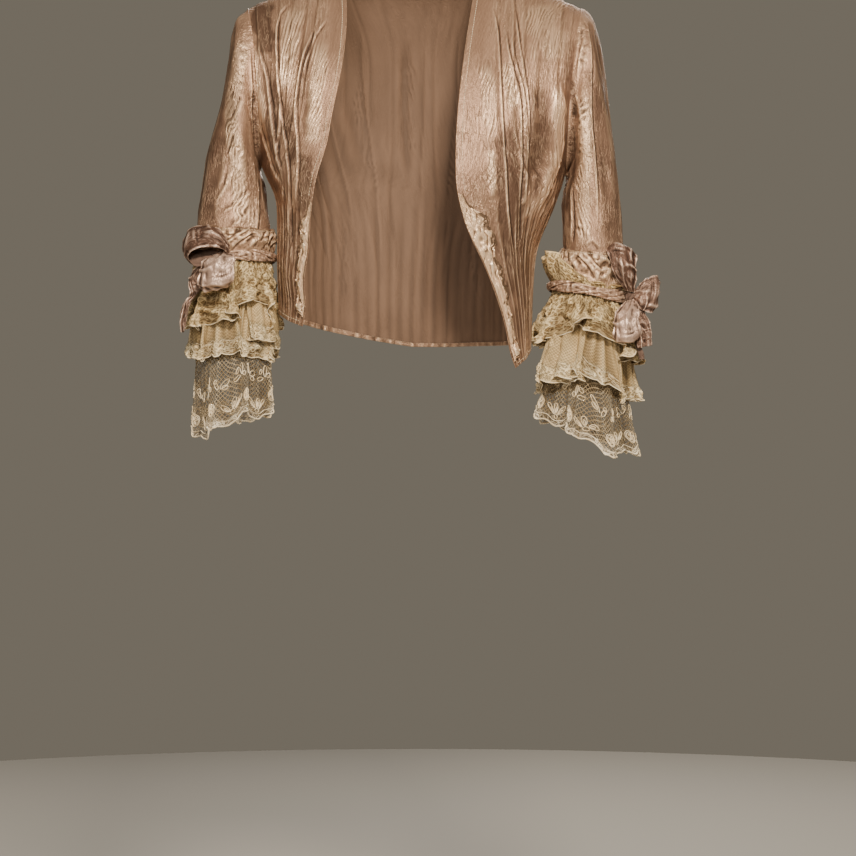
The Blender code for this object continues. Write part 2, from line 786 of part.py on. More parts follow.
def add_shell(name, grid, cloth, collection, closed=False, centred=False):
    """One cloth piece: an open grid of faces that a Solidify modifier gives its wall."""
    mesh = bpy.data.meshes.new(name)
    mesh.from_pydata((grid.reshape(-1, 3) * MM).tolist(), [], grid_faces(*grid.shape[:2], closed))
    if not faces_outward(mesh, tube_normals(grid) if closed else away_from_body(grid)):
        mesh.flip_normals()
    mesh.shade_smooth()
    mesh.materials.append(plain_material(name, cloth))
    piece = bpy.data.objects.new(name, mesh)
    collection.objects.link(piece)
    solid = piece.modifiers.new("Wall", "SOLIDIFY")
    solid.thickness = cloth.wall * MM
    solid.offset = 0 if centred else -1


def add_knot(side, collection):
    """A bow's knot, a small rounded wrap of ribbon."""
    bpy.ops.mesh.primitive_uv_sphere_add(segments=KNOT_SEGMENTS, ring_count=KNOT_RINGS, radius=1)
    knot = bpy.context.object
    knot.name = f"bow_{side}_knot"
    knot.data.name = knot.name
    for vertex in knot.data.vertices:
        place = knot_middle(side) + np.array(vertex.co) * KNOT_SIZE[side]
        vertex.co = place * MM
    for other in list(knot.users_collection):
        other.objects.unlink(knot)
    collection.objects.link(knot)
    knot.data.shade_smooth()
    knot.data.materials.append(plain_material(knot.name, MAUVE))


def build_body(collection):
    """The fronts with their facings, and the back."""
    for side in SIDES:
        panel = front_grid(side, PANEL_ROWS)
        add_shell(f"front_{side}", panel, SATIN, collection)
        add_shell(f"facing_{side}", facing_grid(side, panel), SATIN_EDGE, collection)
    add_shell("back", back_grid(PANEL_ROWS, BACK_COLUMNS), SATIN, collection)


def build_sleeve(side, collection):
    """A sleeve with its band, lace and ribbon."""
    sleeve = sleeve_grid(side, SLEEVE_ROWS, SLEEVE_COLUMNS)
    add_shell(f"sleeve_{side}", sleeve, SATIN, collection, closed=True)
    add_shell(f"cuff_band_{side}", band_grid(side, BAND_COLUMNS), SATIN_EDGE, collection, closed=True)
    for tier_name, rows in FLOUNCE_ROWS.items():
        lace = flounce_grid(side, tier_name, rows, FLOUNCE_COLUMNS)
        add_shell(f"flounce_{tier_name}_{side}", lace, LACE, collection, closed=True)
    layer = 1
    if side == "left":
        add_shell("cuff_frill_left", frill_grid(BAND_COLUMNS), LACE, collection, closed=True)
        layer = 2
    add_shell(f"ribbon_{side}", ribbon_grid(side, layer, BAND_COLUMNS), MAUVE, collection, closed=True)


def build_bow(side, collection):
    """A bow's knot, loops and tails."""
    add_knot(side, collection)
    middle = knot_middle(side)
    for name, ribbon in BOWS[side].items():
        strip = strip_grid(middle, ribbon, RIBBON_STEPS)
        add_shell(f"bow_{side}_{name}", strip, MAUVE, collection, centred=True)


def main():
    """Builds the jacket in a collection of its own."""
    for old in list(bpy.data.objects):
        bpy.data.objects.remove(old, do_unlink=True)
    collection = bpy.data.collections.new("bodice_jacket")
    bpy.context.scene.collection.children.link(collection)
    build_body(collection)
    for side in SIDES:
        build_sleeve(side, collection)
        build_bow(side, collection)


main()
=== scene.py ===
from collections import namedtuple
from math import cos, pi, radians, sin, tan

import bpy
import numpy as np
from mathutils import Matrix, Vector


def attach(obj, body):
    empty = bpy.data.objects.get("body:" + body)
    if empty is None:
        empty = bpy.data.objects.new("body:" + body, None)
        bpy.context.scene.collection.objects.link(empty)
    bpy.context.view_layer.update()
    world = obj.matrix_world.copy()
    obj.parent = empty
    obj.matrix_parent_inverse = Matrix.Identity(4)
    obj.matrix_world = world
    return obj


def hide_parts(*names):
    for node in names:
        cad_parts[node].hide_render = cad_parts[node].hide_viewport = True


# The looks of the pleated satin bodice jacket. Lengths in the tables are millimetres, and the driving
# sizes are those of its solids. Left and right are the wearer's, so left is at +X.

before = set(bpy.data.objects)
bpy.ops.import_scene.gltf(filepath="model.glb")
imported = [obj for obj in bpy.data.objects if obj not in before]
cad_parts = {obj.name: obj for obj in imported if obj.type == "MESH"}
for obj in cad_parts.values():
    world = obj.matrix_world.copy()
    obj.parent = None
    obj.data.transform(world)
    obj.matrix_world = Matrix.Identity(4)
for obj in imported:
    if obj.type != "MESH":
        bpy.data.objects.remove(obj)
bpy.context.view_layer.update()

MM = 0.001
SIDES = {"left": 1, "right": -1}

# The satin's wall and the gap at a seam
SATIN_WALL = 1.2
SEAM = 0.3

# Torso, driving sizes of a general figure
SHOULDER_Z = -23
NECK_Z = 21
NECK_HALF_WIDTH = {"left": 78, "right": 83}
SHOULDER_HALF_WIDTH = {"left": 193, "right": 186}
UNDERARM_HALF_WIDTH = {"left": 176, "right": 172}
UNDERARM_Z = {"left": -213, "right": -205}
ARMHOLE_FRONT_DEPTH = 53
ARMHOLE_BACK_DEPTH = 58
ARMHOLE_INSET = 5

# The panels' rows run from the shoulder seam down. The first rows end on the armhole, at these angles
# from the shoulder tip, and the rest end on the side seam.
ARMHOLE_ANGLES = (0, 18, 45, 80, 120, 155, 180)
SIDE_SEAM_Z = {
    "left": (-254, -296, -348, -390, -407),
    "right": (-236, -270, -312, -345, -369),
}

# The side seam: heights, and its half width at each
SIDE_SEAM = {
    "left": (
        (-213, 176), (-256, 161), (-284, 147), (-300, 142), (-320, 138), (-365, 138), (-407, 136),
    ),
    "right": (
        (-205, 172), (-213, 167), (-224, 160), (-236, 156), (-277, 153), (-312, 154), (-369, 152),
    ),
}

# The front edge at each row, and the way that the cloth faces there and at the row's outer end, in
# degrees round from the front
FrontRow = namedtuple("FrontRow", "edge_x edge_y edge_z edge_face outer_face")
FRONT = {
    "left": (
        (78, 0, 21, 0, 30), (75, -22, 13, 0, 32), (67, -55, -35, 0, 38), (58, -88, -97, 0, 48),
        (51, -109, -160, 2, 62), (49, -117, -212, 5, 78), (51, -119, -248, 8, 90),
        (62, -116, -288, 13, 90), (82, -108, -329, 20, 90), (101, -98, -380, 26, 90),
        (110, -92, -421, 30, 90), (116, -88, -438, 32, 90),
    ),
    "right": (
        (83, 0, 21, 0, 30), (79, -22, 13, 0, 32), (73, -55, -35, 0, 38), (76, -88, -97, 0, 48),
        (87, -107, -158, 3, 62), (93, -114, -194, 6, 78), (105, -115, -233, 12, 90),
        (111, -110, -273, 18, 90), (113, -104, -307, 24, 90), (119, -98, -342, 28, 90),
        (117, -94, -370, 30, 90), (121, -90, -392, 32, 90),
    ),
}

# Pleats of each front: where the folded ridge lies, as a share of the way from the front edge to the
# side, at six heights, and how far the ridge stands up. The first is the facing's outer line. The fade
# is the share of their height that is left at each station, and the drop is how soon a ridge falls off.
PLEAT_STATIONS = (0, 0.25, 0.4, 0.55, 0.75, 1)
PLEAT_SMOOTHING = 0.1
Pleat = namedtuple("Pleat", "top chest bust ribs waist hem height")
PLEATS = {
    "left": (
        Pleat(0.06, 0.10, 0.13, 0.15, 0.17, 0.10, 0),
        Pleat(0.14, 0.24, 0.29, 0.33, 0.35, 0.34, 3.0),
        Pleat(0.27, 0.40, 0.42, 0.43, 0.45, 0.44, 3.6),
        Pleat(0.36, 0.49, 0.51, 0.50, 0.53, 0.53, 2.6),
        Pleat(0.56, 0.61, 0.60, 0.58, 0.60, 0.61, 2.2),
        Pleat(0.80, 0.82, 0.79, 0.73, 0.68, 0.69, 2.6),
        Pleat(0.92, 0.93, 0.90, 0.84, 0.77, 0.78, 1.8),
    ),
    "right": (
        Pleat(0.06, 0.08, 0.10, 0.12, 0.16, 0.12, 0),
        Pleat(0.14, 0.33, 0.36, 0.25, 0.27, 0.28, 3.0),
        Pleat(0.24, 0.42, 0.44, 0.34, 0.35, 0.37, 3.6),
        Pleat(0.42, 0.55, 0.54, 0.43, 0.43, 0.45, 3.0),
        Pleat(0.62, 0.67, 0.61, 0.52, 0.51, 0.53, 2.6),
        Pleat(0.74, 0.78, 0.74, 0.62, 0.60, 0.61, 1.6),
        Pleat(0.90, 0.93, 0.90, 0.75, 0.70, 0.71, 2.4),
    ),
}
PLEAT_FADE = (0.4, 0.6, 0.3, 0.3, 0.45, 0.45)
PLEAT_DROP = 0.24

# The facing strip's span down the front, as shares of its length, and how high it crumples
FACING_SPAN = {"left": (0.55, 0.96), "right": (0.6, 0.96)}
FACING_CRUMPLE = 2.8

# The back, at the centre back and at the row's outer end. Its first two rows follow the neckline for
# the share of the way that the neck takes. The neckline gives their drop and depth at the neck's side.
BackRow = namedtuple("BackRow", "centre_y centre_z outer_face")
BACK = (
    BackRow(62, 8, 30),
    BackRow(75, -10, 32),
    BackRow(89, -48, 38),
    BackRow(102, -104, 48),
    BackRow(105, -162, 62),
    BackRow(102, -205, 78),
    BackRow(98, -228, 90),
    BackRow(89, -272, 90),
    BackRow(82, -315, 90),
    BackRow(80, -360, 90),
    BackRow(83, -393, 90),
    BackRow(86, -408, 90),
)
NECK_SHARE = 0.42
NECKLINE = ((0, 0), (7, 22))
BACK_FOLDS = 5
BACK_FOLD_HEIGHT = 2.2
BACK_FOLD_FADE = 0.75

# Sleeves: the ring's inner and outer points in the front view, its middle and its half depth
SleeveRing = namedtuple("SleeveRing", "inner_x inner_z outer_x outer_z middle_y half_depth")
SLEEVES = {
    "left": (
        SleeveRing(178, -215, 205, -35, 0, 58),
        SleeveRing(179, -218, 212, -57, -1, 59),
        SleeveRing(178, -222, 218, -90, -2, 58),
        SleeveRing(177, -228, 223, -130, -3, 56),
        SleeveRing(175, -236, 229, -175, -5, 53),
        SleeveRing(173, -250, 235, -220, -8, 50),
        SleeveRing(174, -270, 239, -258, -11, 47),
        SleeveRing(174, -292, 240, -290, -14, 45),
        SleeveRing(175, -313, 240, -315, -16, 43),
    ),
    "right": (
        SleeveRing(174, -207, 200, -36, 0, 58),
        SleeveRing(175, -210, 205, -58, -1, 59),
        SleeveRing(175, -214, 209, -90, -2, 58),
        SleeveRing(173, -219, 217, -126, -3, 56),
        SleeveRing(170, -226, 228, -165, -6, 52),
        SleeveRing(168, -238, 236, -205, -10, 48),
        SleeveRing(166, -256, 241, -240, -15, 45),
        SleeveRing(163, -272, 244, -266, -21, 43),
        SleeveRing(161, -288, 244, -286, -24, 42),
    ),
}
SLEEVE_HEAD_EASE = 0.6
SLEEVE_FOLDS = 7
SLEEVE_FOLD_TWIST = 5
SLEEVE_FOLD_HEIGHT = 2.0

# Cuffs: the ribbon's middle line, which the gathered lace and the band hold to. The lean tips the
# outer side down.
Cuff = namedtuple("Cuff", "middle_x middle_y ribbon_z lean half_width half_depth band_top_z")
CUFFS = {
    "left": Cuff(203, -16, -351, 9, 38, 42, -307),
    "right": Cuff(203, -24, -312, 0, 40, 41, -280),
}
LACE_STEP = 1.45
BAND_STEP = 2.3
RIBBON_STEP = 1.6
BAND_EASE = 2.2
STEM = 9
BAND_OVERLAP = 3
RIBBON_HALF_HEIGHT = 6

# The crumpled band's rings: how far down each lies, and how high it crumples
BandRing = namedtuple("BandRing", "share crumple")
BAND_RINGS = (
    BandRing(0, 0),
    BandRing(0.2, 3),
    BandRing(0.38, 3.5),
    BandRing(0.56, 1.8),
    BandRing(0.76, 0),
    BandRing(1, 0),
)
BAND_SPREAD = 1.3

# The lace heading: how far it rises above the ribbon and spreads, at the outer and the inner side
FRILL_RISE = (5, 35)
FRILL_SPREAD = (1, 8)
FRILL_CREST = 26
FRILL_SPAN = 34
FRILL_WAVES = 7
FRILL_SWING = 1.8

# Flounces: each tier's gathered layer, its hem's half width and half depth, and how it waves
Tier = namedtuple("Tier", "layer hem_half_width hem_half_depth bend waves swing phase shift")
TIERS = {
    "left": {
        "upper": Tier(2, 57, 60, 0.8, 7, 6.0, 150, -5),
        "middle": Tier(1, 56, 58, 1.5, 7, 5.0, 100, -5),
        "lower": Tier(0, 55, 57, 2.4, 7, 5.5, 35, -5),
    },
    "right": {
        "upper": Tier(2, 47.5, 58, 0.8, 7, 2.8, 150, 0),
        "middle": Tier(1, 45, 56, 1.5, 7, 3.4, 100, 0),
        "lower": Tier(0, 43, 54, 2.8, 7, 3.6, 35, 0),
    },
}

# Bow loops and tails: points of the ribbon's middle line from the knot's middle, and the ribbon's
# width there
Point = namedtuple("Point", "x y z width")
BOW_AT = {"left": 38, "right": 84}
BOW_OUT = {"left": 8.8, "right": 6.2}
KNOT_SIZE = {"left": (8, 7, 9), "right": (9, 7, 8)}
Ribbon = namedtuple("Ribbon", "turn points")
BOWS = {
    "left": {
        "upper_loop": Ribbon(
            (0.96, 0.05, -0.2),
            (
                (-1, -4, 7, 12), (-7, -11, 22, 25), (-11, -14, 38, 32), (-12, -12, 53, 33),
                (-11, -5, 58, 31), (-8, -1, 42, 26), (-4, 1, 24, 19), (-1, 0, 8, 10),
            ),
        ),
        "outer_loop": Ribbon(
            (0.15, 0.25, 1),
            (
                (4, -5, 2, 14), (12, -10, 3, 34), (21, -10, 4, 44), (28, -4, 3, 46),
                (30, 4, 2, 43), (21, 8, 1, 32), (7, 3, 0, 13),
            ),
        ),
        "lower_loop": Ribbon(
            (0.97, -0.1, 0.2),
            (
                (-1, -6, -5, 14), (-5, -17, -16, 27), (-8, -25, -31, 32), (-8, -26, -46, 31),
                (-7, -18, -51, 28), (-5, -14, -34, 22), (-3, -11, -20, 15), (-0.3, -5, -9, 8),
            ),
        ),
        "outer_tail": Ribbon(
            (0.9, 0.3, 0.2),
            (
                (5, -2, -6, 8), (10, -8, -22, 13), (13, -9, -40, 16), (15, -8, -56, 15),
            ),
        ),
        "inner_tail": Ribbon(
            (0.6, 0.8, -0.2),
            (
                (7, 1, -7.5, 6), (9, -1, -30, 8), (9, -3, -50, 8), (13, -2, -70, 7),
            ),
        ),
    },
    "right": {
        "upper_loop": Ribbon(
            (0.12, -0.74, -0.66),
            (
                (6, -9, 6, 18), (-2, -14, 17, 34), (-16, -15, 23, 42), (-32, -13, 21, 43),
                (-44, -8, 10, 38), (-36, -6, -2, 32), (-18, -8, -4, 24), (-1, -7, -1, 14),
            ),
        ),
        "lower_loop": Ribbon(
            (0.97, -0.15, 0.2),
            (
                (-3, -8, 0, 24), (-5, -18, -7, 40), (-7, -23, -21, 45), (-9, -21, -36, 42),
                (-9, -13, -39, 36), (-6, -9, -24, 24), (-3, -6, -10, 12),
            ),
        ),
        "outer_tail": Ribbon(
            (0.9, -0.4, 0.2),
            (
                (-8, -2, -6, 8), (-26, 0, -16, 11), (-34, 3, -28, 12), (-31, 4, -42, 13),
                (-41, 5, -56, 12), (-45, 5, -72, 10), (-46, 5, -86, 6),
            ),
        ),
    },
}

# Folds that are placed where the camera sees them: x and z are millimetres across and up on the
# plane through the mount. A fold has a half width and a height, and a tuck laps over a trough beside it.
Fold = namedtuple("Fold", "width height lap route")
FRONT_FOLDS = {
    "left": (
        Fold(1.2, 2.0, 0.9, ((89, -19), (99, -47), (103, -119), (108, -206), (110, -260), (120, -346))),
        Fold(1.3, 2.5, 1.0, ((106, -39), (112, -76), (124, -128), (126, -185), (122, -259), (122, -323))),
        Fold(1.1, 1.8, 0.8, ((113, -52), (119, -84), (131, -134), (133, -196), (128, -262))),
        Fold(1.2, 2.2, 1.0, ((116, -13), (124, -66), (133, -122), (137, -185))),
        Fold(1.3, 2.4, 1.0, ((172, -109), (175, -151), (170, -188), (158, -226), (136, -270))),
        Fold(1.3, 2.2, 1.0, ((178, -197), (167, -231), (153, -261), (140, -298))),
        Fold(1.1, 1.7, 0.8, ((170, -200), (160, -232), (146, -262), (134, -296))),
        Fold(7.5, 5.2, 0, ((166, -107), (168, -145), (164, -185), (152, -227), (135, -268))),
        Fold(9.0, -3.6, 0, ((148, -93), (151, -142), (146, -185), (136, -234))),
        Fold(7.0, 2.6, 0, ((83, -82), (90, -128), (87, -174))),
        Fold(4.0, 2.6, 0, ((89, -185), (94, -220), (90, -243))),
        Fold(3.2, 1.3, 0, ((116, -280), (115, -335), (117, -392))),
        Fold(3.0, 1.2, 0, ((129, -284), (130, -341), (129, -398))),
        Fold(2.6, 1.2, 0, ((134, -206), (130, -232), (125, -256))),
    ),
    "right": (
        Fold(
            1.2, 2.3, 1.0, ((-139, -13), (-154, -40), (-154, -116), (-143, -189), (-139, -283), (-136, -358))
        ),
        Fold(1.1, 1.9, 0.8, ((-151, -112), (-151, -151), (-153, -185), (-148, -231), (-146, -346))),
        Fold(
            1.3, 2.4, 1.0, ((-104, -27), (-123, -73), (-132, -116), (-133, -162), (-131, -203), (-136, -272))
        ),
        Fold(1.1, 1.8, 0.8, ((-98, -34), (-113, -61), (-125, -98))),
        Fold(6.5, 4.6, 0, ((-186, -47), (-179, -96), (-167, -139), (-156, -188), (-148, -224))),
        Fold(1.3, 2.2, 1.0, ((-178, -56), (-168, -96), (-161, -142), (-152, -197))),
        Fold(1.5, 2.0, 0.8, ((-178, -142), (-170, -174), (-160, -204), (-148, -229))),
        Fold(2.8, 1.0, 0, ((-148, -84), (-137, -66), (-124, -43))),
        Fold(2.4, 1.0, 0, ((-145, -112), (-145, -96), (-132, -75))),
        Fold(3.4, 1.2, 0, ((-142, -62), (-133, -36), (-122, -22))),
        Fold(8.5, 4.2, 0, ((-99, -54), (-106, -98), (-115, -137), (-121, -167))),
        Fold(6.0, -3.4, 0, ((-118, -109), (-124, -146), (-128, -185))),
        Fold(4.0, 1.6, 0, ((-128, -211), (-125, -254), (-129, -300))),
        Fold(7.0, -3.0, 0, ((-160, -60), (-158, -104), (-151, -150))),
        Fold(3.0, 1.2, 0, ((-144, -236), (-143, -300), (-141, -352))),
    ),
}
SLEEVE_FOLDS_SEEN = {
    "left": (
        Fold(1.3, 1.9, 0.8, ((201, -34), (206, -70), (207, -139), (212, -220), (213, -289))),
        Fold(2.2, 2.6, 0.8, ((193, -42), (190, -68), (183, -91))),
        Fold(2.0, 2.0, 0.6, ((199, -54), (193, -79), (190, -105))),
        Fold(5.0, -4.6, 0, ((185, -116), (184, -162), (181, -203), (176, -237))),
        Fold(6.5, 4.0, 0, ((200, -93), (199, -145), (200, -197), (199, -283))),
        Fold(1.3, 2.2, 0.9, ((183, -220), (185, -260), (183, -295))),
        Fold(5.0, 1.8, 0, ((221, -128), (228, -197), (231, -272))),
        Fold(2.2, 1.8, 0.5, ((188, -120), (194, -138), (197, -160))),
        Fold(2.4, 1.8, 0.5, ((204, -286), (198, -276), (188, -268))),
        Fold(2.0, 1.6, 0.5, ((218, -300), (208, -290), (196, -296))),
    ),
    "right": (
        Fold(8.0, 4.2, 0, ((-193, -50), (-198, -105), (-200, -151), (-198, -203), (-189, -260))),
        Fold(1.3, 2.2, 0.9, ((-186, -59), (-184, -114), (-183, -162), (-179, -203))),
        Fold(4.4, 1.8, 0, ((-207, -105), (-210, -162), (-220, -226), (-227, -272))),
        Fold(2.4, 1.8, 0.8, ((-216, -257), (-200, -246), (-184, -231))),
        Fold(2.4, 1.9, 0.8, ((-209, -275), (-193, -261), (-178, -247))),
        Fold(2.4, 2.2, 0.7, ((-223, -243), (-214, -227), (-208, -211))),
        Fold(1.3, 2.2, 0.9, ((-178, -206), (-177, -249), (-179, -284))),
        Fold(5.0, -3.6, 0, ((-180, -110), (-179, -150), (-176, -200))),
        Fold(2.2, 1.8, 0.6, ((-205, -152), (-198, -140), (-193, -124))),
        Fold(2.2, 1.8, 0.6, ((-212, -196), (-204, -182), (-199, -166))),
    ),
}
BACK_FOLDS_SEEN = (
    Fold(1.4, 1.9, 0.8, ((-62, -24), (-58, -110), (-44, -220), (-40, -330))),
    Fold(1.6, 2.4, 0.8, ((-118, -26), (-104, -120), (-78, -230), (-70, -340))),
    Fold(1.6, 2.4, 0.9, ((-160, -40), (-140, -130), (-108, -226), (-98, -330))),
    Fold(7.5, 4.4, 0, ((-146, -60), (-134, -130), (-108, -200), (-96, -250))),
    Fold(8.0, -3.2, 0, ((-90, -60), (-84, -130), (-68, -200))),
    Fold(1.4, 1.9, 0.8, ((54, -22), (52, -116), (42, -226), (36, -336))),
    Fold(1.6, 2.4, 0.8, ((110, -24), (98, -128), (74, -232), (66, -332))),
    Fold(1.6, 2.5, 0.9, ((158, -44), (136, -138), (104, -230), (92, -338))),
    Fold(7.0, 4.4, 0, ((136, -56), (122, -134), (96, -206), (84, -262))),
    Fold(8.0, -3.2, 0, ((82, -70), (74, -140), (60, -210))),
    Fold(6.0, 3.4, 0, ((-6, -40), (-10, -120), (-4, -210))),
    Fold(1.4, 1.7, 0.7, ((16, -30), (12, -130), (8, -240), (4, -340))),
)

# Patches that are placed in the same way: where the satin is finely crinkled and glossy, with a painted
# highlight in its colour (1), and where it is smooth, with painted shade in its colour (-1). A patch has a
# half width.
Patch = namedtuple("Patch", "width tone route")
FRONT_PATCHES = {
    "left": (
        Patch(23, 0.5, ((153, -16), (156, -47), (158, -84))),
        Patch(6, -0.6, ((185, -52), (181, -84), (182, -116), (179, -162), (176, -203), (166, -237))),
        Patch(3, -0.4, ((141, -61), (145, -73), (148, -84))),
        Patch(6.5, 1.0, ((163, -109), (167, -139), (167, -174), (160, -208), (149, -234), (138, -266))),
        Patch(13, -0.6, ((148, -109), (147, -157), (139, -197), (131, -243))),
        Patch(4, 0.5, ((146, -137), (144, -155))),
        Patch(3.6, 0.75, ((141, -211), (136, -236), (131, -266))),
        Patch(6.5, 0.85, ((107, -84), (112, -109), (117, -139))),
        Patch(10.5, -1.0, ((110, -150), (114, -208), (117, -289), (121, -358))),
        Patch(4, 0.35, ((128, -93), (131, -123), (132, -174))),
        Patch(10, 0.45, ((82, -82), (89, -128), (97, -180))),
        Patch(5.5, 0.9, ((90, -183), (93, -211), (93, -234))),
        Patch(6, -0.7, ((102, -160), (103, -215), (105, -273))),
        Patch(9, -0.35, ((129, -277), (129, -346), (126, -404))),
    ),
    "right": (
        Patch(12, -1.0, ((-171, -15), (-169, -47), (-168, -77))),
        Patch(6, -0.7, ((-164, -82), (-160, -128), (-156, -174), (-153, -220))),
        Patch(6.5, 0.95, ((-185, -54), (-179, -99), (-173, -137), (-167, -174))),
        Patch(3.4, 0.85, ((-166, -172), (-160, -197), (-152, -224))),
        Patch(10.5, 0.75, ((-132, -22), (-141, -70), (-146, -119))),
        Patch(7, -0.65, ((-141, -128), (-140, -168), (-138, -208))),
        Patch(6, -0.55, ((-117, -59), (-124, -99), (-128, -145))),
        Patch(9, 0.85, ((-100, -59), (-109, -109), (-114, -153), (-118, -181))),
        Patch(7, -0.6, ((-121, -188), (-123, -226), (-125, -260))),
        Patch(5, -0.6, ((-173, -183), (-164, -213), (-156, -236))),
        Patch(3, 0.6, ((-133, -197), (-135, -231), (-137, -260))),
        Patch(8, -0.3, ((-143, -249), (-143, -312), (-140, -375))),
    ),
}
SLEEVE_PATCHES = {
    "left": (
        Patch(6, 0.35, ((194, -34), (198, -61), (195, -93))),
        Patch(7.5, 0.95, ((201, -119), (200, -174), (198, -231), (200, -300))),
        Patch(3.6, -1.0, ((183, -102), (185, -128), (189, -148))),
        Patch(4.5, -0.8, ((181, -153), (184, -185), (178, -231), (174, -260))),
        Patch(11, -0.5, ((213, -52), (220, -128), (225, -208), (232, -300))),
        Patch(5, 0.4, ((179, -272), (177, -303))),
    ),
    "right": (
        Patch(8.5, 0.9, ((-194, -52), (-200, -105), (-205, -162), (-200, -220), (-194, -280))),
        Patch(10, -0.65, ((-202, -70), (-217, -119), (-229, -180), (-235, -231), (-235, -275))),
        Patch(4.5, -0.55, ((-186, -109), (-181, -157), (-174, -214), (-168, -268))),
        Patch(7, 0.55, ((-184, -238), (-183, -282))),
    ),
}
BACK_PATCHES = (
    Patch(15, 0.55, ((-142, -36), (-128, -70), (-120, -110))),
    Patch(8, 0.9, ((-140, -120), (-124, -170), (-104, -220))),
    Patch(7, -0.6, ((-164, -110), (-152, -170), (-128, -230))),
    Patch(9, -0.6, ((-92, -50), (-84, -120), (-70, -200))),
    Patch(7, 0.8, ((-66, -90), (-60, -150), (-50, -200))),
    Patch(8, -0.4, ((-34, -40), (-32, -140), (-28, -240))),
    Patch(9, 0.7, ((-2, -60), (-6, -120), (-4, -180))),
    Patch(7, -0.6, ((30, -50), (30, -140), (26, -220))),
    Patch(7, 0.85, ((68, -110), (60, -160), (50, -214))),
    Patch(9, -0.55, ((92, -60), (84, -130), (68, -200))),
    Patch(13, 0.5, ((132, -34), (122, -66), (114, -104))),
    Patch(8, 0.95, ((134, -116), (120, -170), (100, -226))),
    Patch(7, -0.55, ((162, -110), (150, -170), (126, -230))),
    Patch(5, 0.6, ((-84, -250), (-80, -300), (-82, -350))),
    Patch(5, 0.6, ((78, -250), (74, -300), (76, -350))),
)

# How folds and patches are drawn: the steps along a route, how far a fold wanders from it, how long and
# high a tuck is, its lip and trough as shares of its height and half width, and how both fade at their ends
FOLD_STEPS, FOLD_WANDER, FOLD_ENDS, FOLD_LEAST = 14, 0.9, (-0.02, 0.22), 0.82
Swell = namedtuple("Swell", "share place width")
TUCK_REACH, TUCK_SHARE, TUCK_BODY = 3.0, 0.7, 0.8
TUCK_LIP, TUCK_TROUGH = Swell(0.35, -0.25, 0.6), Swell(0.8, 1.6, 0.8)
PATCH_ENDS, PATCH_WANDER, PATCH_RAGGED = (-0.03, 0.14), 0.3, 0.14

# Folds and patches fade where the cloth turns away from the camera, between these shares of facing it
SILHOUETTE_FADE = (0.04, 0.3)

# Where the back's long pleats lie at the shoulders, as shares of the half width
BACK_PLEATS = (0.12, 0.27, 0.43, 0.58, 0.72, 0.86)

# The scalloped hems: the angle round the sleeve and how far the hem hangs below the ribbon there
HEMS = {
    "left": {
        "upper": (
            (0, 80), (28, 79), (59, 65), (84, 42), (105, 30), (126, 51), (152, 58), (185, 50),
            (225, 62), (270, 56), (315, 70),
        ),
        "middle": (
            (0, 122), (29, 122), (53, 127), (77, 103), (94, 88), (111, 102), (157, 94), (180, 114),
            (225, 112), (270, 108), (315, 118),
        ),
        "lower": (
            (0, 184), (24, 181), (46, 179), (55, 189), (77, 183), (90, 165), (129, 150),
            (174, 136), (190, 128), (225, 146), (270, 160), (315, 175),
        ),
    },
    "right": {
        "upper": (
            (0, 78), (51, 80), (82, 74), (105, 64), (120, 52), (141, 54), (160, 80), (180, 84),
            (225, 74), (270, 68), (315, 74),
        ),
        "middle": (
            (0, 112), (50, 117), (80, 111), (105, 103), (128, 114), (150, 118), (180, 108),
            (225, 114), (270, 110), (315, 116),
        ),
        "lower": (
            (0, 190), (32, 203), (48, 202), (60, 194), (78, 192), (112, 172), (141, 181),
            (165, 170), (180, 164), (225, 178), (270, 186), (315, 190),
        ),
    },
}

# Folds of lace that hang under the upper tier: the angles that they span, how far below the ribbon they
# start and end, and how many, wide and deep they are
Cascade = namedtuple("Cascade", "first last top bottom folds swing bulge uneven cloth")
CASCADES = {
    "left": Cascade(98, 152, 22, 102, 2.5, 11, 10, 8, 120),
    "right": Cascade(112, 184, 24, 94, 3.5, 8, 6, 10, 150),
}

# How each tier of lace is made up: its scallops' depth and spacing, and how it gathers and folds
LaceTier = namedtuple("LaceTier", "scallop repeat ruffle gather crumple edge_crumple dense roll ripple cord")
LACE_TIERS = {
    "upper": LaceTier(2.0, 9, 9.5, 0.8, 4.6, 5.0, 22, 16, 5.2, 0.45),
    "middle": LaceTier(2.4, 10, 6.0, 2.8, 0.3, 3.8, 20, 12, 3.0, 0.5),
    "lower": LaceTier(4.6, 25, 5.5, 0.9, 0.6, 0.9, 20, 8, 1.2, 0.85),
}

# The camera, in metres, with its lens given in the photograph's pixels
CAMERA_AT = (0.0184, -2.4, -0.505)
FOCAL_PIXELS, PHOTO_PIXELS, SENSOR_MM = 2087, 856, 36
CAMERA_FAR = -CAMERA_AT[1] / MM
CAMERA_SIGHT = np.array([CAMERA_AT[0], CAMERA_AT[2]]) / MM

# The floor, in metres, the wall behind the jacket and the light of the room
FLOOR_Z, FLOOR_RADIUS, FLOOR_SIDES = -1.32, 2.9, 96
FLOOR_COLOUR, FLOOR_ROUGH = (0.55, 0.52, 0.46), 0.8
WALL = (0.172, 0.151, 0.118)
ROOM = (0.075, 0.066, 0.054)

# The lights: place and size in metres, power in watts, and colour
LIGHTS_LOOK_AT = (0, 0, -0.25)
Light = namedtuple("Light", "name place size power colour")
LIGHTS = (
    Light("key", (0.3, -2.0, 0.75), 0.3, 70, (1.0, 0.90, 0.755)),
    Light("front", (-0.35, -2.3, 0.0), 0.5, 18, (1.0, 0.94, 0.86)),
    Light("back_fill", (0.4, 2.4, 1.2), 1.8, 60, (1.0, 0.94, 0.87)),
)

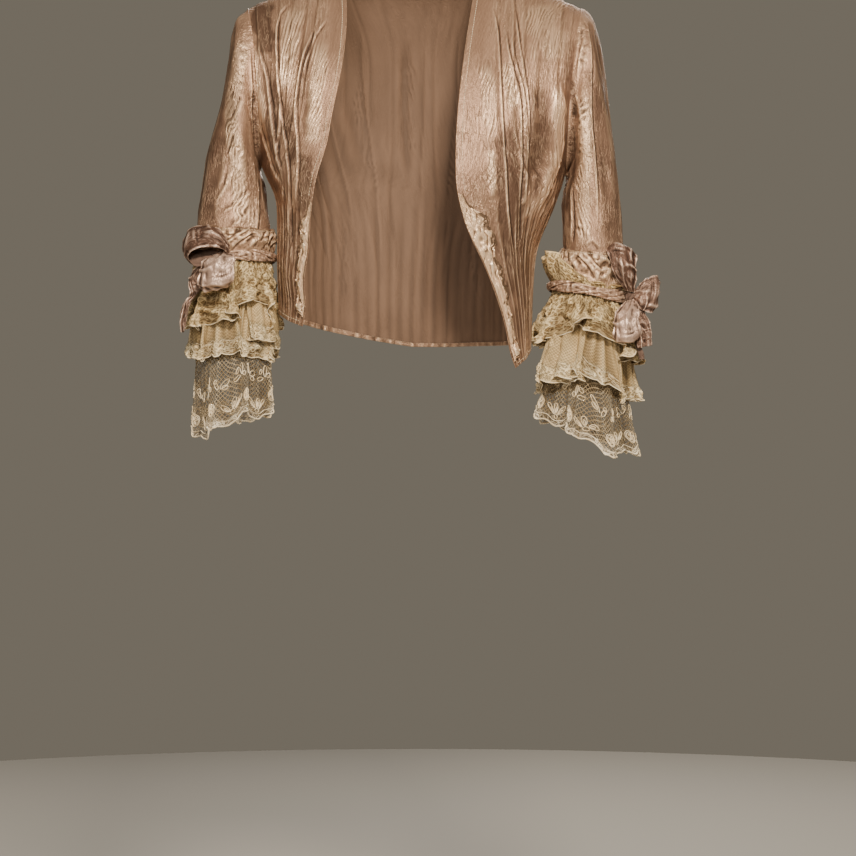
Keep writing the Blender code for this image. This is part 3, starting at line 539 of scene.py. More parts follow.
# How finely each piece is made, in rows down and columns across
FRONT_MESH = (300, 156)
BACK_MESH = (190, 176)
SLEEVE_MESH = (180, 180)
BAND_MESH = (44, 200)
FACING_MESH = {"left": (200, 26), "right": (150, 18)}
FLOUNCE_COLUMNS = 270
FLOUNCE_MESH = {"upper": 60, "middle": 88, "lower": 132}
FRILL_MESH = (32, 190)
CASCADE_MESH = (56, 120)
RIBBON_MESH = (20, 260)
LOOP_MESH = (100, 32)
KNOT_MESH = (36, 48)

# Stitches: length, spacing, lift and radius in millimetres, and the row or column that they follow
STITCH_LENGTH, STITCH_PITCH, STITCH_LIFT, STITCH_RADIUS = 2.2, 3.4, 0.35, 0.24
EDGE_STITCH, HEM_STITCH, BAND_STITCH = 6, 6, 3

# Turned hems: the rows turned under, the radius of the turn, and the radius on thinner edges
HEM_REACH, HEM_RADIUS, THIN_HEM_RADIUS = 5, 0.55, 0.45

# Cloth lengths in millimetres that the crinkle is counted in, and the angle of a tube's seam
PANEL_WIDTH, PANEL_LENGTH = 165, 455
BACK_WIDTH, BACK_LENGTH, BACK_SHIFT = 400, 400, 100
SLEEVE_ROUND, SLEEVE_LENGTH = 290, 300
FACING_WIDTH = 22
CUFF_ROUND, HEM_ROUND = 262, 400
BOW_WIDTH, BOW_LENGTH = 30, 120
TUBE_SEAM = 215

# Heights of the crinkle and of the fine wavy creases, whose spacing follows, in millimetres. The crinkle
# is narrower at the waist: shares down a panel, and what is left of it at each.
FRONT_CRINKLE, BACK_CRINKLE, SLEEVE_CRINKLE = 0.75, 0.8, 0.65
CRIMP_HEIGHT, CRIMP_SPACING = 0.9, 5.2
FRONT_NARROWING = ((0, 0.45, 0.7, 1), (1, 0.9, 0.5, 0.45))
BACK_NARROWING = ((0.4, 0.75), (1, 0.6))

# The narrow pleats at the waist: how many, how high, and the shares down a panel between which they rise
WAIST_PLEATS, BACK_WAIST_PLEATS, WAIST_PLEAT_HEIGHT = 15, 17, 1.7
WAIST_SPAN, BACK_WAIST = (0.49, 0.74), (0.45, 0.7)
# Painted shade towards the waist: how much it lowers the tone, and the shares down a panel over which it
# grows
WAIST_SHADE, WAIST_SHADE_SPAN = 0.3, (0.3, 0.6)

# The back's long pleats: their height, and how they close in: shares down it, and the spread at each
RIDGE_HEIGHT = 1.9
BACK_SPREAD = ((0, 0.5, 0.75, 1), (1, 0.9, 0.62, 0.66))

# How many rows are averaged on each side to even a panel's form, a sleeve's turned-in depth at its head,
# and a groove's width as a share of the spacing
FRONT_EVEN, BACK_EVEN = 8, 10
ALLOWANCE = 5
GROOVE_SHARE = 0.11

# Relief that paints highlight on crests and shade in hollows: how many neighbours a point is compared with,
# the height that counts as 1, and the most of it. Then what it is multiplied by on the facings and the
# bands, and the painted shadow line beside a facing.
RELIEF_REACH, RELIEF_DEPTH, RELIEF_MOST = 3, 0.8, 1.5
FACING_RELIEF_SHADE, FACING_SHADE, BAND_RELIEF_SHADE = 1.5, 3.6, 1.3

# Lace: the depth of relief that counts as 1, the spacing of its gathers, its edge's ripples in a wave, and
# its raised cords' radius, lift, sides, steps and the spacing of a border's loops
LACE_RELIEF, GATHER_SPACING, RIPPLES = 2.0, 9, 2.6
MOTIF_CORD = {"upper": 0.3, "middle": 0.3, "lower": 0.55}
CORD_LIFT, CORD_SIDES, CORD_STEPS, BORDER_LOOP = 0.45, 4, 260, 11
CASCADE_CORD, CASCADE_CORD_SIDES = 0.5, 5
FRILL_STEM = 0.3

# Ribbons: the layers under each and how far it presses in. Bows: how full, cupped and rounded their loops
# are, how much painted light and shade each gets, and the painted highlight on their rims. Knots: their
# share of the tables' size, and where their ends close.
RIBBON_LAYERS, RIBBON_PRESS = {"left": 2, "right": 1}, 0.4
BOW_FULLNESS, BOW_CUP, BOW_ROUND, RIM = 1.1, 0.05, 0.16, 0.9
BOW_TONES = {
    "upper_loop": -0.8,
    "outer_loop": -0.2,
    "lower_loop": 0.6,
    "outer_tail": -0.2,
    "inner_tail": -0.6,
}
KNOT_SHARE, KNOT_END = 0.62, 0.04

# Noise: how far a seed shifts it, its lattice, and the step between lines of their own strength
SEED_SHIFT = (37.3, 91.7)
LATTICE_SIZE = 256
LATTICE = np.random.default_rng(11).uniform(-1, 1, (LATTICE_SIZE, LATTICE_SIZE))
LINE_STEP = 3.7

# The seeds of the crinkle of the fronts, the sleeves and the back
FRONT_SEEDS = {"left": 20, "right": 40}
SLEEVE_SEEDS = {"left": 70, "right": 80}
BACK_SEED = 60

# Uneven waves and creases of cloth: their height, and the size of the cells that they are counted in,
# across and along the cloth in millimetres
Wave = namedtuple("Wave", "height across along")
CRINKLE_BEND, CRINKLE_WRIGGLE = Wave(6.0, 26, 30), Wave(2.4, 9, 12)
CRINKLE_BROAD, CRINKLE_FINE, CRINKLE_SMALL = Wave(0.35, 11.0, 60), Wave(0.62, 5.6, 34), Wave(0.4, 3.8, 22)
CRINKLE_PATCH = Wave(1, 30, 46)
CRIMP_BEND, CRIMP_WRIGGLE, CRIMP_PATCH = Wave(4.2, 22, 17), Wave(1.3, 8, 8), Wave(1, 13, 19)
SLEEVE_BEND, SLEEVE_CREASE, ELBOW_CREASE = Wave(5, 30, 40), Wave(2.0, 14, 70), Wave(0.3, 9, 26)
FACING_WARP, FACING_CREASE = Wave(5, 9, 12), Wave(0.45, 5, 13)
BAND_BEND, BAND_SLANT, BAND_CROSS = Wave(7, 20, 16), Wave(0.7, 15, 24), Wave(0.45, 13, 18)
RIBBON_TWIST = Wave(0.5, 10, 28)
BOW_BEND, BOW_BENT = Wave(5, 12, 14), Wave(1.0, 16, 26)
BOW_SHARP, BOW_CROSS = Wave(1.7, 13, 30), Wave(1.3, 12, 34)

# Cloth crumpled at random, in cells of its own size
CRUMPLE_BEND = Wave(0.7, 1.7, 1.7)
CRUMPLE_RIDGE, CRUMPLE_TROUGH, CRUMPLE_SMALL = Wave(0.6, 1, 1), Wave(0.5, 1, 1.1), Wave(0.28, 0.55, 0.6)

# Looks of the satin: its dark, middle and bright tones, its roughness, the width of its fine crease lines
# in millimetres, and whether its wrong side shows. The dark and bright tones also paint its shade and
# highlights.
SatinLook = namedtuple("SatinLook", "name dark mid bright rough crease wrong_side")
SATIN_LOOKS = {
    "satin": SatinLook(
        "satin_cloth", (0.155, 0.088, 0.058), (0.43, 0.262, 0.172), (1.0, 0.71, 0.47), 0.36, 3.4, True
    ),
    "edge": SatinLook(
        "satin_edge_cloth", (0.19, 0.10, 0.06), (0.93, 0.63, 0.40), (1.0, 0.82, 0.59), 0.32, 2.8, False
    ),
    "band": SatinLook(
        "band_cloth", (0.20, 0.11, 0.065), (0.47, 0.295, 0.185), (1.0, 0.74, 0.50), 0.36, 2.8, False
    ),
    "wrap": SatinLook(
        "wrap_cloth", (0.22, 0.12, 0.075), (0.55, 0.355, 0.245), (1.0, 0.74, 0.55), 0.33, 2.6, False
    ),
    "mauve": SatinLook(
        "ribbon_cloth", (0.13, 0.07, 0.048), (0.34, 0.212, 0.158), (0.92, 0.68, 0.54), 0.36, 2.6, True
    ),
}
# Painted shade over each band's colour, deeper on the right
BAND_TONE = {"left": -0.15, "right": -0.5}

# The satin's tone and gloss: the cells and shares of its unevenness and grain, how much the painted
# highlight on crease lines and crests and the painted shade in troughs and hollows change it, and how its
# wrong side differs, darkened partly by painted shade
UNEVEN_CELL, UNEVEN_SHARE = (26, 48), 0.9
GRAIN_CELL, GRAIN_SHARE = (1.1, 2.6), 0.35
LINE_SHINE, CREST_SHINE, TROUGH_SHADE, HOLLOW_SHARE = 0.2, 0.4, 0.6, 0.35
SATIN_GLOSS, SATIN_SPECULAR, DULL_PATCH = 0.5, 0.2, 0.12
WRONG_SIDE_TONES, WRONG_SIDE_ROUGH, WRONG_SIDE_BUMP = (0.33, 0.5), 0.3, 0.35

# The satin's fine relief: the cells and heights of its weave, slubs, lines and troughs, as shares of the
# bump's reach, which is in metres
WEAVE_CELL, WEAVE_HEIGHT = (0.5, 0.8), 0.15
SLUB_CELL, SLUB_HEIGHT = (1.5, 5), 0.6
LINE_HEIGHT, TROUGH_DEPTH = 0.6, 0.7
SATIN_BUMP, SATIN_BUMP_REACH = 0.8, 0.0011

# Looks of the tiers of lace: the dense border's height, how closed the border and the net are, the size
# of the cloth-work and of the net in millimetres, how much painted shade and highlight its folds get, and
# its colours
LaceLook = namedtuple("LaceLook", "border border_veil veil cell mesh shade net thread cord")
LACE_LOOKS = {
    "upper": LaceLook(
        200, 0.85, 0.85, 4.8, 2.4, 0.6, (0.34, 0.22, 0.09), (0.68, 0.47, 0.22), (1.0, 0.78, 0.44)
    ),
    "middle": LaceLook(
        18, 0.85, 0.6, 4.6, 2.9, 0.5, (0.52, 0.36, 0.17), (0.84, 0.62, 0.33), (1.0, 0.84, 0.54)
    ),
    "lower": LaceLook(
        8, 0.3, 0.0, 6.0, 4.2, 0.5, (0.24, 0.17, 0.09), (0.44, 0.34, 0.21), (1.0, 0.90, 0.70)
    ),
}
# Painted shade in the lace's holes and folds
LACE_SHADOW = (0.12, 0.07, 0.03)
LACE_ROUGH, LACE_SPECULAR = 0.7, 0.3
LACE_THREAD_HEIGHT, LACE_BUMP_REACH = 0.35, 0.0014
NET_THREAD, NET_SLANT = 0.14, 0.8
CORD_COLOURS, CORD_ROUGH = ((0.80, 0.62, 0.38), (1.0, 0.90, 0.69)), 0.75


def ease(t):
    """A share from 0 to 1, made to start and end gently."""
    return t * t * (3 - 2 * t)


def noise(a, b, seed=0):
    """Smooth noise from -1 to 1, at places a and b counted in its own cells."""
    a, b = np.broadcast_arrays(np.asarray(a) + SEED_SHIFT[0] * seed, np.asarray(b) + SEED_SHIFT[1] * seed)
    left, low = np.floor(a).astype(int), np.floor(b).astype(int)
    s, t = ease(a - left), ease(b - low)
    left, low = left % LATTICE_SIZE, low % LATTICE_SIZE
    right, high = (left + 1) % LATTICE_SIZE, (low + 1) % LATTICE_SIZE
    near = LATTICE[left, low] * (1 - s) + LATTICE[right, low] * s
    far = LATTICE[left, high] * (1 - s) + LATTICE[right, high] * s
    return near * (1 - t) + far * t


def waver(places, cell, seed):
    """Smooth noise from -1 to 1 along a line, in cells of the given length."""
    return noise(places / cell, 0.5, seed)


def creases(a, b, seed=0):
    """Noise with sharp ridges, from -1 to 1."""
    return 1 - 2 * np.abs(noise(a, b, seed))


def wavy(wave, across, along, seed):
    """Smooth noise of a wave's height, in its cells."""
    return wave.height * noise(across / wave.across, along / wave.along, seed)


def creased(wave, across, along, seed):
    """Sharp creases of a wave's height, in its cells."""
    return wave.height * creases(across / wave.across, along / wave.along, seed)


def bell(distance, width):
    """1 at no distance, falling on both sides to nearly 0 at twice the width."""
    return np.exp(-((distance / width) ** 2))


def grooves(a, b, seed=0):
    """1 along narrow winding lines side by side, of uneven length, and 0 between them."""
    beat = a + 0.8 * noise(a * 0.5, b * 0.6, seed)
    line = np.round(beat)
    strength = smooth_step(noise(line * LINE_STEP, b * 0.9, seed + 1), -0.2, 0.3)
    return bell(beat - line, GROOVE_SHARE) * strength


def smooth_step(values, low, high):
    """0 below low, 1 above high, and a smooth rise between them."""
    return ease(np.clip((values - low) / (high - low), 0, 1))


def crinkle(across, along, seed):
    """Short sharp wavy creases in patches, at places in millimetres, from about -1 to 1."""
    bent = across + wavy(CRINKLE_BEND, across, along, seed) + wavy(CRINKLE_WRIGGLE, across, along, seed + 1)
    broad = wavy(CRINKLE_BROAD, bent, along, seed + 2)
    sharp = creased(CRINKLE_FINE, bent, along, seed + 3)
    sharp = sharp + creased(CRINKLE_SMALL, bent + 0.2 * along, along, seed + 5)
    patch = smooth_step(wavy(CRINKLE_PATCH, across, along, seed + 4), -0.5, 0.45)
    return broad + sharp * (0.12 + 0.95 * patch)


def crimp_beat(across, along, seed):
    """The count of the fine wavy creases that lie side by side over the cloth."""
    bend = wavy(CRIMP_BEND, across, along, seed) + wavy(CRIMP_WRIGGLE, across, along, seed + 1)
    return (across + bend) / CRIMP_SPACING


def crimp(beat, across, along, seed, lit, least):
    """The height of those creases, which come and go, and are lowest where the satin isn't lit."""
    lines = (np.cos(2 * pi * beat) + 0.3 * np.cos(4 * pi * beat)) / 1.3
    present = smooth_step(wavy(CRIMP_PATCH, across, along, seed), -0.5, 0.4)
    return CRIMP_HEIGHT * lines * present * (least + (1 - least) * lit)


def crumpled(across, along, cell, seed):
    """Cloth crumpled at random, with sharp ridges and sharp troughs, from about -1 to 1."""
    across, along = across / cell, along / cell
    bend = wavy(CRUMPLE_BEND, across, along, seed)
    ridges = creased(CRUMPLE_RIDGE, across + bend, along - 0.4 * across, seed + 1)
    troughs = creased(CRUMPLE_TROUGH, along + bend, across + 0.5 * along, seed + 2)
    small = creased(CRUMPLE_SMALL, across - along + bend, across + along, seed + 3)
    return ridges - troughs + small


def soften(values, reach):
    """Values of a grid, averaged over a square of neighbours."""
    padded = np.pad(values, reach, mode="edge")
    size = 2 * reach + 1
    rows = np.cumsum(np.pad(padded, ((1, 0), (0, 0))), axis=0)
    rows = (rows[size:] - rows[:-size]) / size
    both = np.cumsum(np.pad(rows, ((0, 0), (1, 0))), axis=1)
    return (both[:, size:] - both[:, :-size]) / size


def hollows(height):
    """How far each point of a grid stands over its neighbours, in parts of a relief depth: where the colour
    gets painted highlight and painted shade.
    """
    return np.clip((height - soften(height, RELIEF_REACH)) / RELIEF_DEPTH, -RELIEF_MOST, RELIEF_MOST)


def seen(points):
    """Where the camera sees points: millimetres across and up on the plane through the mount."""
    scale = CAMERA_FAR / (CAMERA_FAR + points[..., 1:2])
    return CAMERA_SIGHT + (points[..., (0, 2)] - CAMERA_SIGHT) * scale


def fold_profile(offset, fold):
    """A fold's height beside its line. A tuck slopes up to a sharp lip and falls into a trough."""
    if fold.lap == 0:
        return fold.height * bell(offset, fold.width)
    slope = np.exp(np.minimum(offset, 0) / TUCK_REACH) * (offset < 0)
    fall = bell(offset, TUCK_LIP.width * fold.width) * (offset >= 0)
    lip = TUCK_LIP.share * bell(offset - TUCK_LIP.place * fold.width, TUCK_LIP.width * fold.width)
    trough = fold.lap * bell(offset - TUCK_TROUGH.place * fold.width, TUCK_TROUGH.width * fold.width)
    return TUCK_SHARE * fold.height * (TUCK_BODY * (slope + fall) + lip - TUCK_TROUGH.share * trough)


def near_route(places, route, reach):
    """Which places of a grid lie within a reach of the box round a route."""
    line = np.array(route)
    return (places > line.min(axis=0) - reach).all(axis=2) & (places < line.max(axis=0) + reach).all(axis=2)


def beside_route(spots, route):
    """How far each spot lies beside a smooth route, and its share of the way along it."""
    shares = np.linspace(0, 1, FOLD_STEPS + 1)
    line = np.array([spline(route, t) for t in shares])
    best = np.full(len(spots), np.inf)
    offset = np.zeros(len(spots))
    along = np.zeros(len(spots))
    for start, first, last in zip(shares, line, line[1:]):
        run = last - first
        step = np.clip(((spots - first) @ run) / (run @ run), 0, 1)
        away = spots - first - step[:, None] * run
        gap = np.hypot(away[:, 0], away[:, 1])
        side = np.sign(run[0] * away[:, 1] - run[1] * away[:, 0])
        nearer = gap < best
        best = np.where(nearer, gap, best)
        offset = np.where(nearer, gap * side, offset)
        along = np.where(nearer, start + step / FOLD_STEPS, along)
    return offset, along


def fold_height(places, folds):
    """The height that the folds give a grid of places, in millimetres."""
    total = np.zeros(places.shape[:2])
    for index, fold in enumerate(folds):
        inside = near_route(places, fold.route, 5 * max(fold.width, TUCK_REACH * 0.8))
        offset, along = beside_route(places[inside], fold.route)
        wander = FOLD_WANDER * noise(along * 6, index, 3) * min(1, fold.width / 3 + 0.4)
        ends = smooth_step(np.minimum(along, 1 - along), *FOLD_ENDS)
        uneven = FOLD_LEAST + 0.3 * noise(along * 5, index, 4)
        total[inside] += fold_profile(offset + wander, fold) * ends * uneven
    return total


def patch_tone(places, patches):
    """How far a grid of places is painted bright and crinkled (1), or painted dark and smooth (-1)."""
    total = np.zeros(places.shape[:2])
    for index, patch in enumerate(patches):
        inside = near_route(places, patch.route, 2.5 * patch.width)
        offset, along = beside_route(places[inside], patch.route)
        ragged = PATCH_WANDER * noise(along * 5, index, 6) + PATCH_RAGGED * noise(along * 23, index, 7)
        offset = (offset + patch.width * ragged) / patch.width
        ends = smooth_step(np.minimum(along, 1 - along), *PATCH_ENDS)
        total[inside] += patch.tone * np.exp(-(offset**6)) * ends
    return np.clip(total, -1, 1)


def lit_share(tone):
    """0 where the satin is smooth and painted dark, and 1 where it is finely crinkled and painted bright."""
    return smooth_step(tone, -0.1, 0.8)


def unit(vectors):
    """Vectors made one long, along the last axis."""
    return vectors / np.maximum(np.linalg.norm(vectors, axis=-1, keepdims=True), 1e-9)


def run_along(line):
    """How far along a line of points each point lies."""
    return np.concatenate([[0], np.linalg.norm(np.diff(line, axis=0), axis=1).cumsum()])


def spline(table, t):
    """The columns of a table at t, from 0 to 1, on a smooth curve through its evenly spaced rows."""
    rows = np.array(table, dtype=float)
    rows = np.vstack([2 * rows[0] - rows[1], rows, 2 * rows[-1] - rows[-2]])
    place = min(max(t, 0), 1) * (len(rows) - 3)
    start = min(int(place), len(rows) - 4)
    step = place - start
    before, here, there, after = rows[start : start + 4]
    return 0.5 * (
        2 * here
        + (there - before) * step
        + (2 * before - 5 * here + 4 * there - after) * step**2
        + (3 * here - before - 3 * there + after) * step**3
    )


def armhole(side, angle, facing):
    """A point of the armhole, at an angle in degrees from the shoulder tip. Facing is -1 in front."""
    turn = radians(angle)
    middle_z = (SHOULDER_Z + UNDERARM_Z[side]) / 2
    half_height = (SHOULDER_Z - UNDERARM_Z[side]) / 2
    middle_x = (SHOULDER_HALF_WIDTH[side] + UNDERARM_HALF_WIDTH[side]) / 2
    lean_x = (SHOULDER_HALF_WIDTH[side] - UNDERARM_HALF_WIDTH[side]) / 2
    depth = ARMHOLE_FRONT_DEPTH if facing < 0 else ARMHOLE_BACK_DEPTH
    return np.array(
        [
            middle_x + lean_x * cos(turn) - ARMHOLE_INSET * sin(turn) ** 2,
            facing * depth * sin(turn),
            middle_z + half_height * cos(turn),
        ]
    )


def outer_line(side, facing):
    """The outer ends of a panel's rows: down the armhole, then down the side seam."""
    points = [armhole(side, angle, facing) for angle in ARMHOLE_ANGLES]
    heights, widths = np.array(SIDE_SEAM[side][::-1]).T
    for z in SIDE_SEAM_Z[side]:
        points.append(np.array([np.interp(z, heights, widths), 0, z]))
    return np.array(points)


def outer_point(line, facing, v):
    """A point of an outer line at v down it, kept on its own side of the side seam."""
    point = spline(line, v)
    point[1] = facing * max(0, facing * point[1])
    return point


def arc_row(inner, outer, inner_face, outer_face, shares):
    """Points from one end of a row to the other, on an arc that faces as given at its ends."""
    turns = np.radians(inner_face + (outer_face - inner_face) * shares)
    first, last = radians(inner_face), radians(outer_face)
    along = (np.sin(turns) - sin(first)) / (sin(last) - sin(first))
    back = (cos(first) - np.cos(turns)) / (cos(first) - cos(last))
    return np.column_stack(
        [
            inner[0] + (outer[0] - inner[0]) * along,
            inner[1] + (outer[1] - inner[1]) * back,
            inner[2] + (outer[2] - inner[2]) * shares,
        ]
    )


def grid_normals(grid):
    """Unit normals of a grid of points."""
    return unit(np.cross(np.gradient(grid, axis=1), np.gradient(grid, axis=0)))


def panel_normals(grid, facing):
    """Unit normals of a panel, turned forward where facing is -1 and backward where it is 1."""
    normals = grid_normals(grid)
    return normals if normals[..., 1].mean() * facing > 0 else -normals


def tube_normals(grid):
    """Unit normals of a tube of rings whose last column lies on its first, pointing outward."""
    wrapped = np.concatenate([grid[:, -2:-1], grid, grid[:, 1:2]], axis=1)
    normals = grid_normals(wrapped)[:, 1:-1]
    outward = grid - grid.mean(axis=1, keepdims=True)
    return normals if (normals * outward).sum() > 0 else -normals


def seam_window(columns, length):
    """1 across a tube's columns, falling to 0 at its seam, so that its two edges meet."""
    place = np.linspace(0, 1, columns + 1)
    return smooth_step(np.minimum(place, 1 - place) * length, 0, 5)


def marked(points, *marks):
    """A grid of points with its cloth coordinates and other marks beside each point."""
    shape = points.shape[:2]
    return np.concatenate([points] + [np.broadcast_to(m, shape)[..., None] for m in marks], axis=2)


def grid_shares(mesh):
    """The shares down and across a grid of so many rows and columns, as a column and a row."""
    rows, columns = mesh
    return np.linspace(0, 1, rows + 1)[:, None], np.linspace(0, 1, columns + 1)[None, :]


def even_rows(grid, reach):
    """A grid whose rows are averaged with their neighbours down it, its first and last rows kept."""
    rows = len(grid)
    sums = np.cumsum(np.concatenate([np.zeros_like(grid[:1]), grid]), axis=0)
    middle = np.arange(rows)
    near = np.minimum(reach, np.minimum(middle, rows - 1 - middle))
    total = sums[middle + near + 1] - sums[middle - near]
    return total / (2 * near + 1).reshape(-1, *([1] * (grid.ndim - 1)))


def faced(sheet, normals):
    """The sheet with its columns in the order that makes its faces look along the normals."""
    own = grid_normals(sheet[..., :3])
    return sheet if (own * normals).sum() > 0 else sheet[:, ::-1]


def turn_edge(sheet, edge, facing_normals, radius=HEM_RADIUS):
    """Folds an edge of a marked sheet under, as a narrow turned hem, and gives the longer sheet."""
    turns = {"top": (False, False), "bottom": (False, True), "first": (True, False), "last": (True, True)}
    swap, flip = turns[edge]
    work = sheet.transpose(1, 0, 2) if swap else sheet
    normals = facing_normals.transpose(1, 0, 2) if swap else facing_normals
    if flip:
        work, normals = work[::-1], normals[::-1]
    away = unit(work[0, :, :3] - work[1, :, :3])
    rows = []
    for k in range(HEM_REACH, 0, -1):
        row = work[k].copy()
        row[:, :3] -= normals[k] * 2 * radius
        rows.append(row)
    for turn in np.linspace(pi, 0, 6)[:-1]:
        row = work[0].copy()
        row[:, :3] += away * radius * sin(turn) - normals[0] * radius * (1 - cos(turn))
        rows.append(row)
    work = np.concatenate([np.array(rows), work])
    if flip:
        work = work[::-1]
    return work.transpose(1, 0, 2) if swap else work


def pleat_lines(side, v):
    """The shares across a front at which its pleats' ridges lie, at v down the front."""
    near = v + PLEAT_SMOOTHING * np.linspace(-1, 1, 5)
    return [np.interp(near, PLEAT_STATIONS, pleat[:6]).mean() for pleat in PLEATS[side]]


def ridge(distance, width):
    """A narrow rounded ridge with a trough on its outer side, from distances in millimetres."""
    return bell(distance, width) - 0.6 * bell(distance - 2.2 * width, width)


def front_relief(side, v, shares):
    """The pleats of one row of a front, with the narrow folds at the waist, in millimetres."""
    lines = pleat_lines(side, v)
    fade = np.interp(v, PLEAT_STATIONS, PLEAT_FADE)
    places, heights = [0], [0]
    for pleat, line, after in zip(PLEATS[side], lines, lines[1:] + [1]):
        places += [line, line + (after - line) * PLEAT_DROP]
        heights += [pleat.height * fade, 0]
    broad = np.interp(shares, places + [1], heights + [0])
    return broad + smooth_step(np.array(v), *WAIST_SPAN) * waist_pleats(shares * WAIST_PLEATS, v, 9)


def waist_pleats(beats, v, seed):
    """Narrow uneven pleats side by side, counted in beats, in millimetres."""
    beats = beats + 0.35 * noise(beats * 0.6, v * 2.5, seed)
    line = np.round(beats)
    strength = 0.75 + 0.5 * noise(line * LINE_STEP, v * 3, seed + 1)
    return WAIST_PLEAT_HEIGHT * strength * (bell(beats - line, 0.17) - 0.35)


def front_plain(side):
    """The smooth form of a front, in rows from the shoulder down, and the height of its pleats."""
    outer = outer_line(side, -1)
    rows, columns = FRONT_MESH
    shares = np.linspace(0, 1, columns + 1)
    plain, relief = [], []
    for v in np.linspace(0, 1, rows + 1):
        row = FrontRow(*spline(FRONT[side], v))
        start = (row.edge_x, row.edge_y, row.edge_z)
        plain.append(arc_row(start, outer_point(outer, -1, v), row.edge_face, row.outer_face, shares))
        relief.append(front_relief(side, v, shares))
    plain = even_rows(np.array(plain), FRONT_EVEN)
    plain[..., 0] *= SIDES[side]
    return plain, np.array(relief)


def front_sheet(side):
    """One front, from the shoulder down and from its edge to its side, with its relief."""
    plain, relief = front_plain(side)
    downs, shares = grid_shares(FRONT_MESH)
    across = shares * PANEL_WIDTH
    along = downs * PANEL_LENGTH
    normals = panel_normals(plain, -1)
    facing = smooth_step(np.abs(normals[..., 1]), *SILHOUETTE_FADE)
    height = relief + fold_height(seen(plain), FRONT_FOLDS[side]) * facing
    # The tone is painted highlight and painted shade in the satin's colour, with more painted shade towards
    # the waist, and it also sets how finely the satin crinkles.
    tone = patch_tone(seen(plain), FRONT_PATCHES[side]) * facing
    tone = np.clip(tone - WAIST_SHADE * smooth_step(downs, *WAIST_SHADE_SPAN), -1, 1)
    lit = lit_share(tone)
    seed = FRONT_SEEDS[side]
    narrow = np.interp(downs, *FRONT_NARROWING)
    height = height + FRONT_CRINKLE * narrow * crinkle(across, along, seed) * (0.25 + 0.6 * lit)
    slanted = across + 0.35 * SIDES[side] * along
    beat = crimp_beat(slanted, along, seed + 9)
    height = height + crimp(beat, slanted, along, seed + 11, lit, 0.15)
    height = height * smooth_step(across, -1, 4) * smooth_step(PANEL_WIDTH - across, -0.5, 5)
    height = height * smooth_step(along, -2, 14)
    grid = plain + normals * height[..., None]
    grid[..., 1] -= SEAM / 2
    grid[0, :, 1] = 0
    return marked(grid, across, along, hollows(height), tone, beat)


def back_top(side, row, share):
    """A point of the back's neckline and shoulder seam on one side, for its first two rows."""
    drop, neck_y = NECKLINE[row]
    neck = np.array([NECK_HALF_WIDTH[side] + drop / 2, neck_y, NECK_Z - drop])
    if share > NECK_SHARE:
        tip = armhole(side, ARMHOLE_ANGLES[row], 1)
        return neck + (tip - neck) * (share - NECK_SHARE) / (1 - NECK_SHARE)
    turn = share / NECK_SHARE * pi / 2
    back = BACK[row]
    return np.array(
        [
            neck[0] * sin(turn),
            neck[1] + (back.centre_y - neck[1]) * cos(turn),
            neck[2] + (back.centre_z - neck[2]) * cos(turn),
        ]
    )


def back_relief(places, v):
    """Pleats of the back, fanned from the waist, as on the fronts."""
    relief = np.zeros_like(places)
    spread = np.interp(v, *BACK_SPREAD)
    for k, share in enumerate(BACK_PLEATS):
        for side in (-1, 1):
            wander = 0.008 * noise(v * 9, k * side, 12)
            distance = (side * places - share * spread - wander) * BACK_WIDTH / 2
            relief = relief + RIDGE_HEIGHT * ridge(distance, 1.6) * (0.6 + 0.3 * noise(v * 7, k * side, 13))
    waist = smooth_step(np.array(v), *BACK_WAIST)
    return relief * 0.4 + 0.6 * waist * waist_pleats(places * BACK_WAIST_PLEATS, v, 14) * (1 - places**8)


def back_plain():
    """The smooth form of the back, in rows from the shoulders down."""
    rows, columns = BACK_MESH
    lines = {side: outer_line(side, 1) for side in SIDES}
    stations = []
    for index, row in enumerate(BACK):
        points = []
        for place in np.linspace(-1, 1, columns + 1):
            side = "left" if place >= 0 else "right"
            if index < len(NECKLINE):
                point = back_top(side, index, abs(place))
            else:
                start = (0, row.centre_y, row.centre_z)
                end = lines[side][index]
                point = arc_row(start, end, 0, row.outer_face, np.array([abs(place)]))[0]
            points.append(point * (SIDES[side], 1, 1))
        stations.append(np.array(points).ravel())
    plain = [spline(stations, v).reshape(-1, 3) for v in np.linspace(0, 1, rows + 1)]
    plain = even_rows(np.array(plain), BACK_EVEN)
    plain[..., 1] = np.maximum(plain[..., 1], 0)
    return plain


